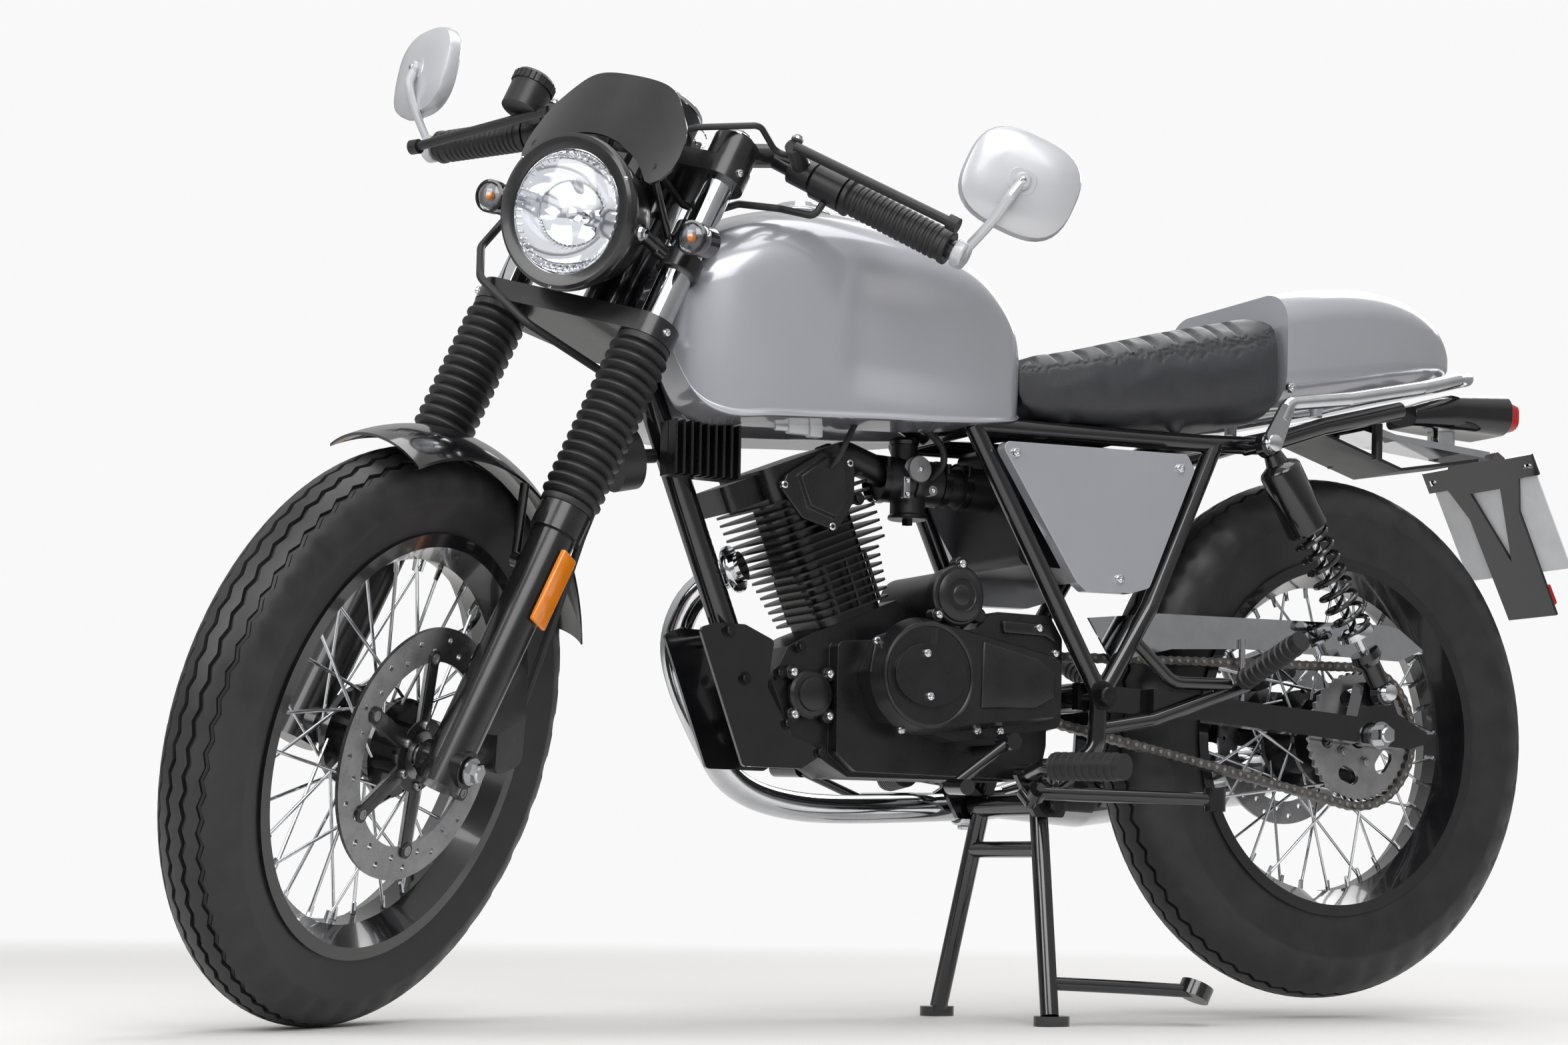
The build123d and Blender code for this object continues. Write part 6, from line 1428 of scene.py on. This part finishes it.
@dataclass
class Undercarriage:
    """Chain pins, shock absorbers, the stands' return spring and the pegs' rubbers."""

    chain_y: float = 77.5
    rear_teeth: int = 44
    front_teeth: int = 17
    pitch: float = 12.7
    front: tuple[float, float] = (14.0, 402.0)
    rear: tuple[float, float] = (-503.0, 363.0)
    shock_y: float = 127.6
    shock_top: tuple[float, float] = (-307.0, 711.5)
    shock_foot: tuple[float, float] = (-500.0, 416.0)

    def build(self) -> None:
        """Build all pieces under and behind the engine."""
        self.add_chain_pins()
        self.add_shocks()
        self.add_stand_springs()
        self.add_peg_rubbers()

    def add_chain_pins(self) -> None:
        """Put the chain's pins through its plates, so that their ends show on both sides."""
        rear_r = self.pitch / (2 * math.sin(math.pi / self.rear_teeth))
        front_r = self.pitch / (2 * math.sin(math.pi / self.front_teeth))
        span = Vector((self.front[0] - self.rear[0], self.front[1] - self.rear[1]))
        slope = math.atan2(span.y, span.x)
        wrap = math.acos((rear_r - front_r) / span.length)
        run = span.length * math.sin(wrap)
        rear_arc = (2 * math.pi - 2 * wrap) * rear_r
        front_arc = 2 * wrap * front_r
        total = 2 * run + rear_arc + front_arc
        links = round(total / self.pitch)
        pins = Piece("chain_pins", CHAIN_PIN)
        for link in range(links):
            at = total / links * link
            if at < rear_arc:
                turn = slope + wrap + at / rear_r
                x, z = self.rear[0] + rear_r * math.cos(turn), self.rear[1] + rear_r * math.sin(turn)
            elif at < rear_arc + run:
                turn = slope - wrap
                ahead = at - rear_arc
                x = self.rear[0] + rear_r * math.cos(turn) - ahead * math.sin(turn)
                z = self.rear[1] + rear_r * math.sin(turn) + ahead * math.cos(turn)
            elif at < rear_arc + run + front_arc:
                turn = slope - wrap + (at - rear_arc - run) / front_r
                x, z = self.front[0] + front_r * math.cos(turn), self.front[1] + front_r * math.sin(turn)
            else:
                turn = slope + wrap
                ahead = at - rear_arc - run - front_arc
                x = self.front[0] + front_r * math.cos(turn) - ahead * math.sin(turn)
                z = self.front[1] + front_r * math.sin(turn) + ahead * math.cos(turn)
            pins.rod((x, self.chain_y - 8, z), (x, self.chain_y + 8, z), 2.4, 10)
        pins.put()

    def add_shocks(self) -> None:
        """Stand a shock absorber with a wound spring in each CAD shock's place."""
        dark = Piece("shock_bodies", GLOSS_PLASTIC)
        bright = Piece("shock_rods", CHROME)
        wound = Piece("shock_springs", GLOSS_PLASTIC)
        for side in (-1, 1):
            top, foot = (Vector((x, side * self.shock_y, z)) for x, z in (self.shock_top, self.shock_foot))
            way = (foot - top).normalized()
            length = (foot - top).length
            dark.lathe([(0, 12), (11, 13), (14, 26), (24, 32), (26, 36), (26, 118), (24, 121), (0, 121)], top, way, 36)
            dark.lathe([(0, length - 62), (18, length - 60), (19, length - 50), (13, length - 42), (13, length - 14),
                        (0, length - 13)], top, way, 32)
            bright.rod(top + way * 115, top + way * (length - 55), 6.5, 20)
            bright.lathe([(15, 262), (22, 262), (23, 266), (23, 270), (15, 272)], top, way, 32)
            wound.spring(tuple(top + way * 120), tuple(top + way * 266), 19.0, 3.4, 8)
            for eye in (top, foot):
                dark.lathe([(8.2, -8), (14.5, -8), (16, -6.5), (16, 6.5), (14.5, 8), (8.2, 8), (8.2, -8)], eye,
                           (0, 1, 0), 28)
                bright.lathe([(0, 8), (12, 8), (12.5, 10), (10, 15), (6, 17), (0, 17.4)], eye, (0, side, 0), 24)
        dark.put("shocks")
        bright.put()
        wound.put()

    def add_stand_springs(self) -> None:
        """Hook the stands' return spring on its two pins."""
        springs = Piece("stand_springs", STEEL)
        springs.spring((-6, 97, 290), (-96, 99, 318), 7.0, 1.5, 14)
        springs.rod((-6, 92, 290), (-6, 101, 290), 3, 12)
        springs.rod((-96, 94, 318), (-96, 103, 318), 3, 12)
        springs.put()

    def add_peg_rubbers(self) -> None:
        """Pull ribbed rubbers over the footrests."""
        rubbers = Piece("peg_rubbers", RUBBER)
        for side in (-1, 1):
            for start, end, radius in (((33, side * 147, 303), (-3, side * 252, 300), 15.0),
                                       ((-270, side * 121.5, 414), (-271, side * 236, 460), 12.0)):
                begin, finish = Vector(start), Vector(end)
                length = (finish - begin).length
                profile = [(0, 13), (radius + 0.4, 13)]
                ribs = 9
                for rib in range(ribs):
                    at = 15 + rib * (length - 22) / ribs
                    profile += [(radius - 0.2, at), (radius + 1.6, at + 1.4), (radius + 1.6, at + 5.6),
                                (radius - 0.2, at + 7)]
                profile += [(radius + 0.4, length - 4), (radius + 0.4, length + 0.6), (0, length + 0.6)]
                rubbers.lathe(profile, start, finish - begin, 24)
        rubbers.put("footrests")


@dataclass
class Tail:
    """Tail lamp, plate and reflectors."""

    def build(self) -> None:
        """Round the lamp's housing and add its reflectors and screws."""
        soft_copy("tail_lamp", GLOSS_PLASTIC, 5.0, 3)
        soft_copy("tail_lens", RED_LENS, 3.0, 3)
        soft_copy("number_plate", PLATE_WHITE, 0.5, 2)
        sine, cosine = math.sin(PLATE_LEAN), math.cos(PLATE_LEAN)
        plate = placed((-782, 0, 734), (0, -1, 0), (sine, 0, cosine), (-cosine, 0, sine))
        screws = Piece("plate_screws", CHROME, Body.CHASSIS, plate)
        for u, v in ((-60, -20), (60, -20)):
            screws.dome_bolt((u, v, 5.8), (0, 0, 1), 4.5)
        for u in (-89, 89):
            screws.dome_bolt((u, 0, 4), (0, 0, 1), 5.5)
        screws.put()
        red = Piece("rear_reflector", RED_LENS, Body.CHASSIS, plate)
        red.block((0, -186, 7.5), (88, 30, 7), None, 2.5)
        red.put()
        amber = Piece("fork_reflectors", AMBER, Body.FORK)
        for side in (-1, 1):
            amber.block((FORK_OFFSET, side * 121, 214), (30, 7, 84), None, 2.5)
        amber.put()


def dress_nodes() -> None:
    """Give every CAD node its finish."""
    for name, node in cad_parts.items():
        material = NODE_FINISHES[name].material()
        node.data.materials.clear()
        node.data.materials.append(material)
        LOG.info("dressed %s in %s", name, material.name)


def main() -> None:
    """Build the scene in order."""
    logging.basicConfig(level=logging.INFO, format="%(name)s: %(message)s")
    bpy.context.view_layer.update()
    Studio().build()
    dress_nodes()
    for assembly in (Wheels(), Seat(), Headlight(), Flyscreen(), Gaiters(), Cockpit(), Bodywork(), Engine(),
                     Undercarriage(), Tail()):
        assembly.build()


if __name__ == "__main__":
    main()
